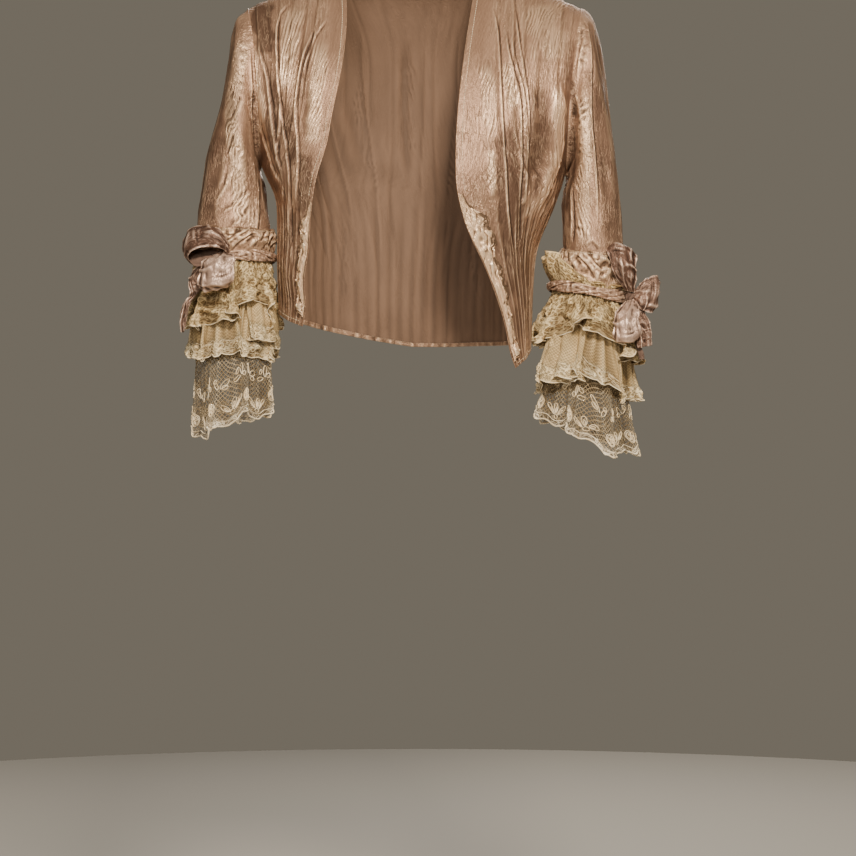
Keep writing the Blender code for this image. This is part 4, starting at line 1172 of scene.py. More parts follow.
def back_sheet():
    """The back, from the shoulders down and from its right side to its left."""
    plain = back_plain()
    downs, shares = grid_shares(BACK_MESH)
    places = 2 * shares[0] - 1
    folds = np.cos(places * BACK_FOLDS * pi) * (1 - places**4)
    height = BACK_FOLD_HEIGHT * folds * np.sin(downs * pi * BACK_FOLD_FADE)
    height = height + np.array([back_relief(places, v) for v in downs[:, 0]])
    across = (places[None, :] + 1) * BACK_WIDTH / 2
    along = downs * BACK_LENGTH
    normals = panel_normals(plain, 1)
    facing = smooth_step(np.abs(normals[..., 1]), *SILHOUETTE_FADE)
    height = height + fold_height(plain[..., (0, 2)], BACK_FOLDS_SEEN) * facing
    # The tone is painted highlight and painted shade in the satin's colour, and it also sets how finely the
    # satin crinkles.
    tone = patch_tone(plain[..., (0, 2)], BACK_PATCHES) * facing
    lit = lit_share(tone)
    wrinkled = crinkle(across + BACK_SHIFT, along, BACK_SEED) * (0.4 + 0.5 * lit)
    height = height + BACK_CRINKLE * wrinkled * np.interp(downs, *BACK_NARROWING)
    slanted = across + BACK_SHIFT - 0.3 * along
    beat = crimp_beat(slanted, along, BACK_SEED + 9)
    height = height + crimp(beat, slanted, along, BACK_SEED + 11, lit, 0.1)
    side_gap = BACK_WIDTH / 2 * (1 - np.abs(places))
    height = height * smooth_step(side_gap, -0.5, 6) * smooth_step(along, -2, 14)
    grid = plain + normals * height[..., None]
    grid[..., 1] += SEAM / 2
    grid[0, :, 1] = np.maximum(grid[0, :, 1] - SEAM / 2, 0)
    return marked(grid, across, along, hollows(height), tone, beat)


def strip_ends(v, first, last):
    """How far a facing has opened out at v down the front, from none at its ends to all of it."""
    return smooth_step(v, first - 0.01, first + 0.09) * smooth_step(last + 0.01 - v, 0, 0.05)


def facing_strip(side, front):
    """Points of a front under its facing strip, out to the strip's ragged outer line."""
    rows, columns = FACING_MESH[side]
    first, last = FACING_SPAN[side]
    strip = []
    for v in np.linspace(first, last, rows + 1):
        place = v * FRONT_MESH[0]
        low = min(int(place), FRONT_MESH[0] - 1)
        line = front[low] * (low + 1 - place) + front[low + 1] * (place - low)
        wide = pleat_lines(side, v)[0] * (1 + 0.2 * noise(v * 48, 0.5, 15) + 0.08 * noise(v * 130, 0.5, 15))
        wide = wide * (0.12 + 0.78 * strip_ends(v, first, last))
        shares = np.linspace(0, wide, columns + 1) * FRONT_MESH[1]
        strip.append(np.array([np.interp(shares, np.arange(len(line)), line[:, k]) for k in range(3)]).T)
    return np.array(strip)


def facing_sheet(side, front):
    """The crumpled strip turned back on a front's edge, made from the front's own points, moved out."""
    first, last = FACING_SPAN[side]
    strip = facing_strip(side, front)
    downs, place = grid_shares(FACING_MESH[side])
    v = first + (last - first) * downs
    across = place * FACING_WIDTH
    along = v * PANEL_LENGTH
    warp = wavy(FACING_WARP, across, along, 16)
    crumples = 0.7 * crumpled(1.6 * across + warp, 0.5 * along, 9, 17)
    crumples = crumples + creased(FACING_CREASE, across - warp + 0.3 * along, along, 18)
    swell = np.sin(place * pi) ** 0.5 + 0.5 * smooth_step(place, 0.6, 1)
    ragged = (1 + 0.5 * waver(along, 9, 19)) * (0.15 + 0.85 * strip_ends(v, first, last))
    lines = grooves((across + 0.6 * along) / 5, (along - 0.5 * across) / 9, 11)
    lift = FACING_CRUMPLE * (0.55 + 0.75 * crumples - 0.6 * lines) * swell * ragged
    lift = SATIN_WALL * 0.5 + SEAM + lift
    grid = strip + panel_normals(strip, -1) * lift[..., None]
    # A painted shadow line along the strip's ragged edge, where it stands off the front, and a painted
    # highlight and painted shade on its crumples.
    painted_shadow_line = FACING_SHADE * bell(place - 0.9, 0.12) * smooth_step(waver(along, 6, 12), -0.7, 0.0)
    return marked(grid, across, along, FACING_RELIEF_SHADE * hollows(lift) - painted_shadow_line)


def ring_angles(columns):
    """Angles round a tube from seam to seam, in degrees from its outer side towards the front."""
    return TUBE_SEAM + 360 * np.linspace(0, 1, columns + 1)


def both_faces(measure, tables, side, plain, normals):
    """A measure of a sleeve's table in front, and of the other sleeve's, turned over, behind."""
    other = "right" if side == "left" else "left"
    front = measure(seen(plain), tables[side]) * (normals[..., 1] < 0)
    back = measure(plain[..., (0, 2)] * (-1, 1), tables[other]) * (normals[..., 1] >= 0)
    return (front + back) * smooth_step(np.abs(normals[..., 1]), *SILHOUETTE_FADE)


def sleeve_plain(side):
    """The smooth form of a sleeve, in rings from the armhole down."""
    rows, columns = SLEEVE_MESH
    angles = ring_angles(columns)
    turns = np.radians(angles)
    head = []
    for angle in angles % 360:
        facing = -1 if angle <= 180 else 1
        point = armhole(side, angle if angle <= 180 else 360 - angle, facing)
        point[0] += SLEEVE_HEAD_EASE + SATIN_WALL * max(0, cos(radians(angle)))
        head.append(point)
    stations = [np.array(head).ravel()]
    for ring in SLEEVES[side]:
        outer = np.array([ring.outer_x, ring.middle_y, ring.outer_z])
        inner = np.array([ring.inner_x, ring.middle_y, ring.inner_z])
        front = np.array([0, -ring.half_depth, 0])
        points = (outer + inner) / 2 + np.outer(np.cos(turns), (outer - inner) / 2)
        stations.append((points + np.outer(np.sin(turns), front)).ravel())
    plain = np.array([spline(stations, v).reshape(-1, 3) for v in np.linspace(0, 1, rows + 1)])
    plain[..., 0] *= SIDES[side]
    return plain


def sleeve_folds(side, across, along, lit, sideways):
    """The sleeve's long folds and its crinkle, which is lower on its outer and inner sides."""
    seed = SLEEVE_SEEDS[side]
    v = along / SLEEVE_LENGTH
    turns = np.radians(ring_angles(SLEEVE_MESH[1]))[None, :]
    folds = np.sin(SLEEVE_FOLDS * turns + SLEEVE_FOLD_TWIST * v) * np.sin(pi * v)
    folds = folds * (3 + 2 * np.cos(turns)) / 5
    bend = wavy(SLEEVE_BEND, across, along, seed + 13)
    wrinkled = crinkle(across, along, seed) * (0.4 + 0.5 * lit) * (1 - 0.65 * sideways)
    wrinkled = wrinkled + creased(SLEEVE_CREASE, across + bend, along, seed + 14) * sideways
    elbow = smooth_step(v, 0.55, 0.95)
    slanted = creased(ELBOW_CREASE, across + along * 0.9, along - across * 0.4, 33)
    wrinkled = wrinkled * (1 - 0.2 * elbow) + elbow * slanted
    return SLEEVE_FOLD_HEIGHT * folds + SLEEVE_CRINKLE * wrinkled


def sleeve_sheet(side):
    """A sleeve, from the armhole down, in rings from seam to seam."""
    plain = sleeve_plain(side)
    normals = tube_normals(plain)
    downs, shares = grid_shares(SLEEVE_MESH)
    across = shares * SLEEVE_ROUND
    along = downs * SLEEVE_LENGTH
    # The tone is painted highlight and painted shade in the satin's colour, and it also sets how finely the
    # satin crinkles.
    tone = both_faces(patch_tone, SLEEVE_PATCHES, side, plain, normals)
    lit = lit_share(tone)
    sideways = 1 - smooth_step(np.abs(normals[..., 1]), 0.3, 0.75)
    height = sleeve_folds(side, across, along, lit, sideways)
    slanted = across + 0.2 * along
    beat = crimp_beat(slanted, along, SLEEVE_SEEDS[side] + 9)
    height = height + crimp(beat, slanted, along, SLEEVE_SEEDS[side] + 11, lit, 0.1)
    height = height + both_faces(fold_height, SLEEVE_FOLDS_SEEN, side, plain, normals)
    height = height * seam_window(SLEEVE_MESH[1], SLEEVE_ROUND)[None, :] * smooth_step(along, -1, 10)
    grid = plain + normals * height[..., None]
    sheet = marked(grid, across, along, hollows(height), tone, beat)
    return np.concatenate([sleeve_allowance(sheet[0]), sheet])


def sleeve_allowance(head):
    """The rows of a sleeve's head that are turned in under the front and the back."""
    rows = []
    middle = head[:, :3].mean(axis=0)
    for depth in np.linspace(ALLOWANCE, 1, 4):
        row = head.copy()
        row[:, 0] -= np.sign(middle[0]) * depth
        row[:, :3] += (middle - head[:, :3]) * (0.006 + 0.004 * depth)
        rows.append(row)
    return np.array(rows)


def cuff_points(side, angles, half_width, half_depth, z, shift=0):
    """Points of a leaning ring round a cuff, at angles in degrees from the outer side."""
    cuff = CUFFS[side]
    across = half_width * np.cos(np.radians(angles))
    x = cuff.middle_x + shift + across
    y = cuff.middle_y - half_depth * np.sin(np.radians(angles))
    return np.stack(np.broadcast_arrays(x, y, z - across * tan(radians(cuff.lean))), axis=-1)


def lace_half(side, layer):
    """Half width and half depth of a gathered layer under the ribbon, counted from the inside."""
    cuff = CUFFS[side]
    return cuff.half_width + layer * LACE_STEP, cuff.half_depth + layer * LACE_STEP


def band_sheet(side):
    """The crumpled satin band, from over the sleeve's end to over the gathered lace."""
    cuff = CUFFS[side]
    end = SLEEVES[side][-1]
    top_width = (end.outer_x - end.inner_x) / 2 + SATIN_WALL + BAND_EASE
    top_depth = end.half_depth + SATIN_WALL + BAND_EASE
    low_width, low_depth = (half + BAND_STEP for half in lace_half(side, 2))
    fall = cuff.band_top_z - (cuff.ribbon_z - BAND_OVERLAP)
    t, shares = grid_shares(BAND_MESH)
    across = shares * CUFF_ROUND
    along = t * fall
    spread = np.minimum(1, t * BAND_SPREAD)
    half_width = top_width + (low_width - top_width) * spread
    half_depth = top_depth + (low_depth - top_depth) * spread
    shift = ((end.outer_x + end.inner_x) / 2 - cuff.middle_x) * (1 - t)
    angles = ring_angles(BAND_MESH[1])
    plain = cuff_points(side, angles, half_width, half_depth, cuff.band_top_z - along, shift)
    swathe = np.interp(t, [ring.share for ring in BAND_RINGS], [ring.crumple for ring in BAND_RINGS])
    bent = across + 1.5 * along + wavy(BAND_BEND, across, along, 35)
    wrinkled = creased(BAND_SLANT, bent, along, 36) + creased(BAND_CROSS, across - 0.9 * along, along, 34)
    wrinkled = wrinkled + 0.75 * crumpled(across, along, 9, 37)
    lines = grooves((across + 1.1 * along) / 12, (along - 0.3 * across) / 17, 32) * (swathe + 0.6) / 3
    height = (0.6 * swathe + 0.9) * (0.3 + 0.9 * wrinkled) - 2.2 * lines
    window = seam_window(BAND_MESH[1], CUFF_ROUND)[None, :]
    height = height * window
    grid = plain + tube_normals(plain) * height[..., None]
    ruffled = 1.8 * waver(across, 13, 38) + 1.0 * waver(across, 5, 39)
    grid[..., 2] += ruffled * (1 - t) * window
    grid[..., 0] *= SIDES[side]
    # The relief paints highlight on the crumples' crests and shade in their hollows, and the tone paints the
    # band darker, lighter on raised crumples.
    return marked(grid, across, along, BAND_RELIEF_SHADE * hollows(height), BAND_TONE[side] + 0.45 * wrinkled)


def ribbon_sheet(side):
    """The crumpled ribbon round a cuff, over everything that it gathers."""
    width, depth = lace_half(side, 2)
    lift = BAND_STEP + RIBBON_LAYERS[side] * RIBBON_STEP - RIBBON_PRESS
    t, shares = grid_shares(RIBBON_MESH)
    t = 1 - 2 * t
    across = shares * CUFF_ROUND
    along = t * RIBBON_HALF_HEIGHT
    z = CUFFS[side].ribbon_z + along * (0.9 + 0.3 * waver(across, 30, 41)) + 1.3 * waver(across, 22, 42)
    grid = cuff_points(side, ring_angles(RIBBON_MESH[1]), width + lift, depth + lift, z)
    twisted = creased(RIBBON_TWIST, along * 2.0 + across * 0.5, across, 43)
    wrinkled = twisted + 0.9 * crumpled(across, along * 1.3, 8, 44)
    lines = grooves((along * 1.5 + across * 0.4) / 6, across / 22, 47)
    height = 2.6 * (0.3 + 0.8 * wrinkled) * (1 - 0.6 * t**4) - 1.7 * lines
    height = height * seam_window(RIBBON_MESH[1], CUFF_ROUND)[None, :]
    grid = grid + tube_normals(grid) * height[..., None]
    grid[..., 0] *= SIDES[side]
    # The relief paints highlight on the crumples' crests and shade in their hollows.
    return marked(grid, across, along, hollows(height))


def hem_hang(side, tier_name, angles):
    """How far a tier's hem hangs below the ribbon, on a smooth curve round the sleeve."""
    places, hangs = np.array(HEMS[side][tier_name], dtype=float).T
    places = np.concatenate([places - 360, places, places + 360])
    hangs = np.tile(hangs, 3)
    around = np.asarray(angles) % 360
    slot = np.searchsorted(places, around, side="right") - 1
    step = (around - places[slot]) / (places[slot + 1] - places[slot])
    return hangs[slot] + (hangs[slot + 1] - hangs[slot]) * ease(step)


def flounce_length(side, tier_name, across, window):
    """How long a flounce is from its top to its scalloped and ragged hem, all round the cuff."""
    look = LACE_TIERS[tier_name]
    layer = TIERS[side][tier_name].layer
    scallop = look.scallop * (np.abs(np.sin(across / look.repeat * pi)) - 0.5)
    ragged = 1.5 * waver(across, 3.5, layer + 130) + 1.5 * waver(across, 8, layer + 133)
    hang = hem_hang(side, tier_name, ring_angles(FLOUNCE_COLUMNS))
    return hang + BAND_OVERLAP + (scallop + ragged) * window


def lace_crumple(look, across, depth, length, share, seed):
    """How a tier of lace is crumpled over its net and along its border."""
    near_hem = smooth_step(depth - length, -look.dense, -look.dense + 8)
    rough = look.crumple + (look.edge_crumple - look.crumple) * near_hem
    broad = crumpled(across, depth, 12, seed + 2) * np.minimum(1, 3 * share)
    return rough * broad + 0.4 * rough * noise(across / 4.5, depth / 4.5, seed + 3)


def flounce_sheet(side, tier_name):
    """One lace flounce: a gathered stem under the ribbon, then a flare in uneven waves."""
    tier, look = TIERS[side][tier_name], LACE_TIERS[tier_name]
    seed = 90 + 7 * tier.layer + (0 if side == "left" else 3)
    angles = ring_angles(FLOUNCE_COLUMNS)
    window = seam_window(FLOUNCE_COLUMNS, HEM_ROUND)
    t, shares = grid_shares((FLOUNCE_MESH[tier_name], FLOUNCE_COLUMNS))
    across = shares * HEM_ROUND
    length = flounce_length(side, tier_name, across, window)
    depth = t * length
    share = np.clip((depth - STEM) / (length - STEM), 0, 1)
    beat = np.radians(tier.waves * angles + tier.phase)
    front = 0.4 + 0.6 * np.sin(np.radians(angles)) ** 2
    ruffle = np.abs(np.sin(beat * 0.5 + 0.6 * noise(angles / 40, t * 1.5, seed)))
    gathers = np.sin(across * 2 * pi / GATHER_SPACING + 1.5 * noise(across / 30, t * 3, seed + 1))
    ripple = np.radians(tier.waves * RIPPLES * angles) + 2.2 * waver(angles, 30, seed + 4)
    curl = look.ripple * share**2
    out = look.ruffle * front * ruffle * share + look.gather * gathers * (1 - 0.55 * share)
    out = out + lace_crumple(look, across, depth, length, share, seed) + curl * np.sin(ripple)
    out = np.sin(beat) * tier.swing * share ** (1 + tier.bend / 2) + out * window
    top_width, top_depth = lace_half(side, tier.layer)
    half_width = top_width + (tier.hem_half_width - top_width) * share**tier.bend + out
    half_depth = top_depth + (tier.hem_half_depth - top_depth) * share**tier.bend + out
    lean = look.roll * np.sin(beat + radians(70)) + 1.1 * curl * np.sin(ripple + radians(80))
    top_z = CUFFS[side].ribbon_z + BAND_OVERLAP
    angles = angles + lean * share * window
    grid = cuff_points(side, angles, half_width, half_depth, top_z, tier.shift * share)
    grid[..., 2] = grid[..., 2] * (1 - share) + top_z * share - depth
    grid[..., 0] *= SIDES[side]
    # The relief marks where the lace's colour gets a painted highlight on its folds' crests and painted
    # shade in their hollows.
    relief = np.clip((out - soften(out, 8)) / LACE_RELIEF, -1, 1)
    return marked(grid, across, length - depth, relief)


def cascade_sheet(side):
    """Lace that hangs in deep folds under the upper tier, where the tier's hem is drawn up."""
    fall = CASCADES[side]
    tier = TIERS[side]["upper"]
    width, depth = lace_half(side, 1)
    t, u = grid_shares(CASCADE_MESH)
    beat = 2 * pi * fall.folds * u
    run = u * fall.cloth
    scallop = 1.8 * np.abs(np.sin(run / 12 * pi))
    length = fall.bottom - fall.top + fall.uneven * noise(u * 4, 0.5, 120) + scallop
    spread = 0.3 + 0.7 * t
    angles = fall.first + (fall.last - fall.first) * u + fall.swing * spread * np.sin(beat + 0.8 * t)
    crumple = 2.0 * crumpled(run, t * length, 11, 121) * np.minimum(1, 3 * t)
    out = fall.bulge * spread * np.cos(beat) + crumple
    down = fall.top + t * length
    share = np.minimum(1, down / fall.bottom)
    half_width = width + (tier.hem_half_width - width) * share + out
    half_depth = depth + (tier.hem_half_depth - depth) * share + out
    grid = cuff_points(side, angles, half_width, half_depth, CUFFS[side].ribbon_z)
    grid[..., 2] -= down
    grid[..., 0] *= SIDES[side]
    # Its last mark paints highlight on the folds' crests and shade in their troughs.
    return marked(grid, run, length * (1 - t), 0.9 * np.cos(beat) * (0.3 + 0.7 * t))


def frill_sheet():
    """The lace heading that stands up round the left cuff, tall at the inner side."""
    side = "left"
    width, depth = lace_half(side, 2)
    angles = ring_angles(FRILL_MESH[1])
    inner = bell(np.abs(angles % 360 - 180) - FRILL_CREST, FRILL_SPAN)
    rise = np.interp(inner, (0, 1), FRILL_RISE) * (1 + 0.12 * waver(angles, 16, 46))
    spread = np.interp(inner, (0, 1), FRILL_SPREAD)
    downs, shares = grid_shares(FRILL_MESH)
    across = shares * CUFF_ROUND
    window = seam_window(FRILL_MESH[1], CUFF_ROUND)
    t = downs * (1 + FRILL_STEM) - FRILL_STEM
    up = np.maximum(t, 0)
    stem = RIBBON_HALF_HEIGHT * np.minimum(1, (t + FRILL_STEM) / FRILL_STEM) - BAND_OVERLAP * (t < 0)
    wave = 2.2 * FRILL_SWING * np.sin(np.radians(FRILL_WAVES * 2 * angles + 40 * up))
    wave = wave + 2.6 * crumpled(across, up * 30, 9, 45)
    curl = 3.5 * smooth_step(up, 0.7, 1.0) * np.sin(across / 7)
    out = BAND_STEP + RIBBON_STEP - RIBBON_PRESS + spread * np.sin(2.3 * up) + up * (wave + curl) * window
    z = CUFFS[side].ribbon_z + stem + up * rise
    grid = cuff_points(side, angles, width + out, depth + out, z)
    grid[..., 0] *= SIDES[side]
    return marked(grid, across, rise * (1 - up), 0.0)


def strip_middle(side, name):
    """A bow's loop or tail as a ribbon along its smooth line; a loop's edges are drawn in to the knot."""
    ribbon = BOWS[side][name]
    rows, columns = LOOP_MESH
    turn = np.array(ribbon.turn) / np.linalg.norm(ribbon.turn)
    middle = knot_middle(side)
    shares = np.linspace(-0.5, 0.5, columns + 1)
    grid = []
    for t in np.linspace(0, 1, rows + 1):
        point = Point(*spline(ribbon.points, t))
        wide = point.width * BOW_FULLNESS * (1 + 0.09 * noise(t * 12, 0.5, 50 + len(name)))
        grid.append(middle + (point.x, point.y, point.z) + np.outer(shares * wide, turn))
    grid = np.array(grid)
    if "loop" in name:
        grid = grid + (middle - grid) * (BOW_ROUND * (2 * shares[None, :, None]) ** 2)
    return faced(grid, grid - grid.mean(axis=(0, 1)))


def strip_height(t, across, along, seed):
    """The height of a bow's creases: a fan where the knot pulls them in, and sharp bends between."""
    pull = 1 - np.sin(t * pi) ** 0.6
    fan = creases(across / 6 + 0.9 * noise(t * 4, 0.5, seed), t * 1.5, seed + 1)
    bend = wavy(BOW_BEND, across, along, seed + 3)
    bent = creased(BOW_BENT, along + 0.8 * across + bend, across, seed + 2)
    sharp = creased(BOW_SHARP, along + bend, across + 0.3 * along, seed + 6)
    cross = creased(BOW_CROSS, 1.6 * across + 0.6 * along - bend, along, seed + 7)
    lines = grooves((along - 0.7 * across + bend) / 15, (across + bend) / 15, seed + 5)
    return (1.7 + 0.9 * pull) * fan + (bent + sharp + cross - 1.5 * lines) * (1 - pull)


def strip_sheet(side, name):
    """A crumpled ribbon along a smooth line, with its width across the bow's given direction."""
    grid = strip_middle(side, name)
    t, shares = grid_shares(LOOP_MESH)
    shares = shares - 0.5
    across = shares * BOW_WIDTH
    along = t * BOW_LENGTH
    seed = 50 + len(name)
    width = np.linalg.norm(grid[:, -1] - grid[:, 0], axis=1)[:, None]
    height = strip_height(t, across, along, seed)
    height = height - BOW_CUP * width * (2 * shares) ** 2 * (0.6 + 0.8 * noise(t * 3, 0.5, seed + 4))
    grid = grid + grid_normals(grid) * height[..., None]
    # Painted highlight along the rims with a painted shade line just inside them, over the painted highlight
    # and shade of the creases; the bow's tone paints each loop lighter or darker.
    edge = np.abs(shares)
    rim = RIM * (smooth_step(edge, 0.44, 0.49) - 0.6 * bell(edge - 0.4, 0.03))
    return marked(grid, across, along, hollows(height) + rim, BOW_TONES[name])


def knot_middle(side):
    """The middle of a bow's knot, just outside the ribbon round the cuff."""
    width, depth = lace_half(side, 2)
    lift = BAND_STEP + 2 * RIBBON_STEP + BOW_OUT[side]
    point = cuff_points(side, np.array([BOW_AT[side]]), width + lift, depth + lift, CUFFS[side].ribbon_z)[0]
    point[0] *= SIDES[side]
    return point


def knot_sheet(side):
    """A bow's knot: a small rounded wrap of ribbon, pinched into folds."""
    tilt, turn = grid_shares(KNOT_MESH)
    tilt = KNOT_END + (pi - 2 * KNOT_END) * tilt
    turn = 2 * pi * turn
    wrapped = creases(2.2 * np.cos(turn) + 1.3 * tilt, 1.8 * np.sin(turn), 47)
    pinched = creases(1.3 * np.sin(turn) - tilt, 2.4 * np.cos(turn + 0.6), 48)
    folds = 1 + (0.3 * wrapped - 0.22 * pinched) * np.sin(tilt) ** 0.5
    size = np.array(KNOT_SIZE[side]) * KNOT_SHARE
    x = size[0] * np.sin(tilt) * np.cos(turn) * folds
    y = size[1] * np.sin(tilt) * np.sin(turn) * folds
    z = size[2] * np.cos(tilt) * folds
    grid = np.stack([x, y, z], axis=-1) + knot_middle(side)
    # Its relief paints highlight where the knot bulges and shade where it is pinched.
    return marked(grid, turn * 8, tilt * 9, (folds - 1) * 4)


def set_inputs(tree, node, inputs):
    """Sets a node's inputs to values, or links sockets to them."""
    for place, value in inputs.items():
        if isinstance(value, bpy.types.NodeSocket):
            tree.links.new(value, node.inputs[place])
        else:
            node.inputs[place].default_value = value


def add_node(tree, kind, inputs=None, **settings):
    """Adds a shader node."""
    node = tree.nodes.new(kind)
    for name, value in settings.items():
        setattr(node, name, value)
    set_inputs(tree, node, inputs or {})
    return node


def calculate(tree, operation, first, second=0.0, third=0.0):
    """The output of a Math node."""
    inputs = {0: first, 1: second, 2: third}
    return add_node(tree, "ShaderNodeMath", inputs, operation=operation).outputs[0]


def product(tree, first, second):
    """The product of two values or sockets."""
    return calculate(tree, "MULTIPLY", first, second)


def product_sum(tree, first, second, third):
    """The first times the second, plus the third."""
    return calculate(tree, "MULTIPLY_ADD", first, second, third)


def point_value(tree, name):
    """The value that each point carries under a name."""
    return add_node(tree, "ShaderNodeAttribute", attribute_name=name).outputs["Fac"]


def darkened(colour, share):
    """A share of a colour."""
    return tuple(share * part for part in colour)


def cloth_place(tree, across, along):
    """The cloth's own coordinates, counted in cells of the given size in millimetres."""
    place = add_node(tree, "ShaderNodeAttribute", attribute_name="cloth").outputs["Vector"]
    scale = (1 / across, 1 / along, 1)
    return add_node(tree, "ShaderNodeVectorMath", {0: place, 1: scale}, operation="MULTIPLY").outputs[0]


def cloth_noise(tree, across, along, detail=2.0, distortion=0.0):
    """Noise over the cloth, from 0 to 1, in cells of the given size in millimetres."""
    place = cloth_place(tree, across, along)
    inputs = {"Vector": place, "Scale": 1.0, "Detail": detail, "Roughness": 0.5, "Distortion": distortion}
    return add_node(tree, "ShaderNodeTexNoise", inputs, noise_dimensions="2D").outputs["Fac"]


def between(tree, amount, low, high, first, last):
    """Maps an amount between low and high to a value between first and last."""
    inputs = {0: amount, 1: low, 2: high, 3: first, 4: last}
    return add_node(tree, "ShaderNodeMapRange", inputs).outputs[0]


def blend_colours(tree, amount, first, second):
    """Mixes two colours or colour sockets."""
    node = add_node(tree, "ShaderNodeMix", {0: amount}, data_type="RGBA")
    for place, colour in ((6, first), (7, second)):
        is_socket = isinstance(colour, bpy.types.NodeSocket)
        set_inputs(tree, node, {place: colour if is_socket else (*colour, 1)})
    return node.outputs[2]


def mark(tree, place):
    """One of the marks that each point carries: 0 across, 1 along, 2 relief."""
    vector = add_node(tree, "ShaderNodeAttribute", attribute_name="cloth").outputs["Vector"]
    return add_node(tree, "ShaderNodeSeparateXYZ", {0: vector}).outputs[place]


def new_material(name):
    """A node material and its Principled shader."""
    material = bpy.data.materials.new(name)
    material.use_nodes = True
    return material, material.node_tree, material.node_tree.nodes["Principled BSDF"]


def fine_creases(tree, across, along):
    """1 on thin winding crease lines over the cloth and 0 between them."""
    amount = cloth_noise(tree, across, along, 1.5, distortion=0.7)
    gap = calculate(tree, "ABSOLUTE", calculate(tree, "SUBTRACT", amount, 0.5))
    return between(tree, gap, 0, 0.1, 1, 0)


def satin_colour(tree, look, uneven, patch, lines, crimps):
    """The satin's right side: its own uneven tone and grain, painted highlight and shade in patches, painted
    highlight on crests and ridges, and painted shade in hollows.
    """
    relief = mark(tree, 2)
    troughs, crests = crimps
    grain = calculate(tree, "SUBTRACT", cloth_noise(tree, *GRAIN_CELL, 2), 0.5)
    tone = product_sum(tree, uneven, UNEVEN_SHARE, product_sum(tree, grain, GRAIN_SHARE, patch))
    # The patches' tone paints highlight and shade over the satin's own uneven tone and grain.
    colour = blend_colours(tree, between(tree, tone, -0.75, 0.1, 0, 1), look.dark, look.mid)
    colour = blend_colours(tree, between(tree, tone, 0.1, 1, 0, 0.58), colour, look.bright)
    # Painted highlight on raised crests, fine crease lines and crimp crests; painted shade in crimp troughs
    # and in hollows.
    colour = blend_colours(tree, between(tree, relief, 0.15, 1.2, 0, 0.75), colour, look.bright)
    colour = blend_colours(tree, product(tree, lines, LINE_SHINE), colour, look.bright)
    colour = blend_colours(tree, product(tree, crests, CREST_SHINE), colour, look.bright)
    colour = blend_colours(tree, product(tree, troughs, TROUGH_SHADE), colour, look.dark)
    hollow_shade = between(tree, relief, -0.9, -0.1, 0.85, 0)
    return blend_colours(tree, hollow_shade, colour, darkened(look.dark, HOLLOW_SHARE))


def wrong_side_colour(tree, look, uneven):
    """The satin's wrong side, in dull deep tones that are partly its own duller colour and partly painted
    shade, with painted shade where its right side stands up.
    """
    # Painted shade where the right side stands up, over the cloth's own uneven tone.
    uneven_and_painted_shade = product_sum(tree, uneven, -1.5, mark(tree, 2))
    deep, pale = (darkened(look.mid, share) for share in WRONG_SIDE_TONES)
    return blend_colours(tree, between(tree, uneven_and_painted_shade, -0.8, 0.8, 0, 1), pale, deep)


def satin_material(look):
    """Satin: painted highlight and shade in patches, painted shade in hollows, painted highlight on ridges,
    and a dull wrong side that is darkened partly by painted shade.
    """
    material, tree, shader = new_material(look.name)
    # The tone paints highlight and shade in patches, and the bright patches are glossier.
    patch = point_value(tree, "tone")
    uneven = calculate(tree, "SUBTRACT", cloth_noise(tree, *UNEVEN_CELL, 3), 0.5)
    lines = product(tree, fine_creases(tree, look.crease, look.crease * 4.5), crinkled_patches(tree))
    troughs, crests = crimp_lines(tree, patch)
    colour = satin_colour(tree, look, uneven, patch, lines, (troughs, crests))
    rough = between(tree, patch, -1, 1, look.rough + DULL_PATCH, look.rough)
    metal, strength = SATIN_GLOSS, SATIN_BUMP
    if look.wrong_side:
        inside = add_node(tree, "ShaderNodeNewGeometry").outputs["Backfacing"]
        colour = blend_colours(tree, inside, colour, wrong_side_colour(tree, look, uneven))
        rough = product_sum(tree, inside, WRONG_SIDE_ROUGH, rough)
        metal = product_sum(tree, inside, -SATIN_GLOSS, SATIN_GLOSS)
        strength = product_sum(tree, inside, WRONG_SIDE_BUMP - SATIN_BUMP, SATIN_BUMP)
    weave = product(tree, cloth_noise(tree, *WEAVE_CELL, 1), WEAVE_HEIGHT)
    height = product_sum(tree, cloth_noise(tree, *SLUB_CELL, 3), SLUB_HEIGHT, weave)
    height = product_sum(tree, lines, LINE_HEIGHT, height)
    height = product_sum(tree, troughs, -TROUGH_DEPTH, height)
    bump = {"Height": height, "Strength": strength, "Distance": SATIN_BUMP_REACH}
    normal = add_node(tree, "ShaderNodeBump", bump).outputs[0]
    inputs = {"Base Color": colour, "Metallic": metal, "Roughness": rough, "Normal": normal}
    set_inputs(tree, shader, inputs | {"Specular IOR Level": SATIN_SPECULAR})
    return material


def crimp_lines(tree, patch):
    """Where the fine wavy creases get painted shade in their troughs and a painted highlight on their
    crests, mostly in the bright patches, drawn finer than the mesh is. The troughs also dip the bump.
    """
    beat = product_sum(tree, cloth_noise(tree, 5, 9, 2), 0.5, point_value(tree, "beat"))
    swing = calculate(tree, "PINGPONG", beat, 0.5)
    gate = between(tree, cloth_noise(tree, 11, 17, 1), 0.42, 0.56, 0.1, 1)
    gate = product(tree, gate, between(tree, patch, -0.1, 0.6, 0.0, 1))
    troughs = product(tree, between(tree, swing, 0.33, 0.48, 0, 1), gate)
    crests = product(tree, between(tree, swing, 0.02, 0.16, 1, 0), gate)
    return troughs, crests


def crinkled_patches(tree):
    """Where the satin is finely crinkled: from a little to 1."""
    return between(tree, cloth_noise(tree, 30, 44, 1), 0.4, 0.58, 0.12, 1)


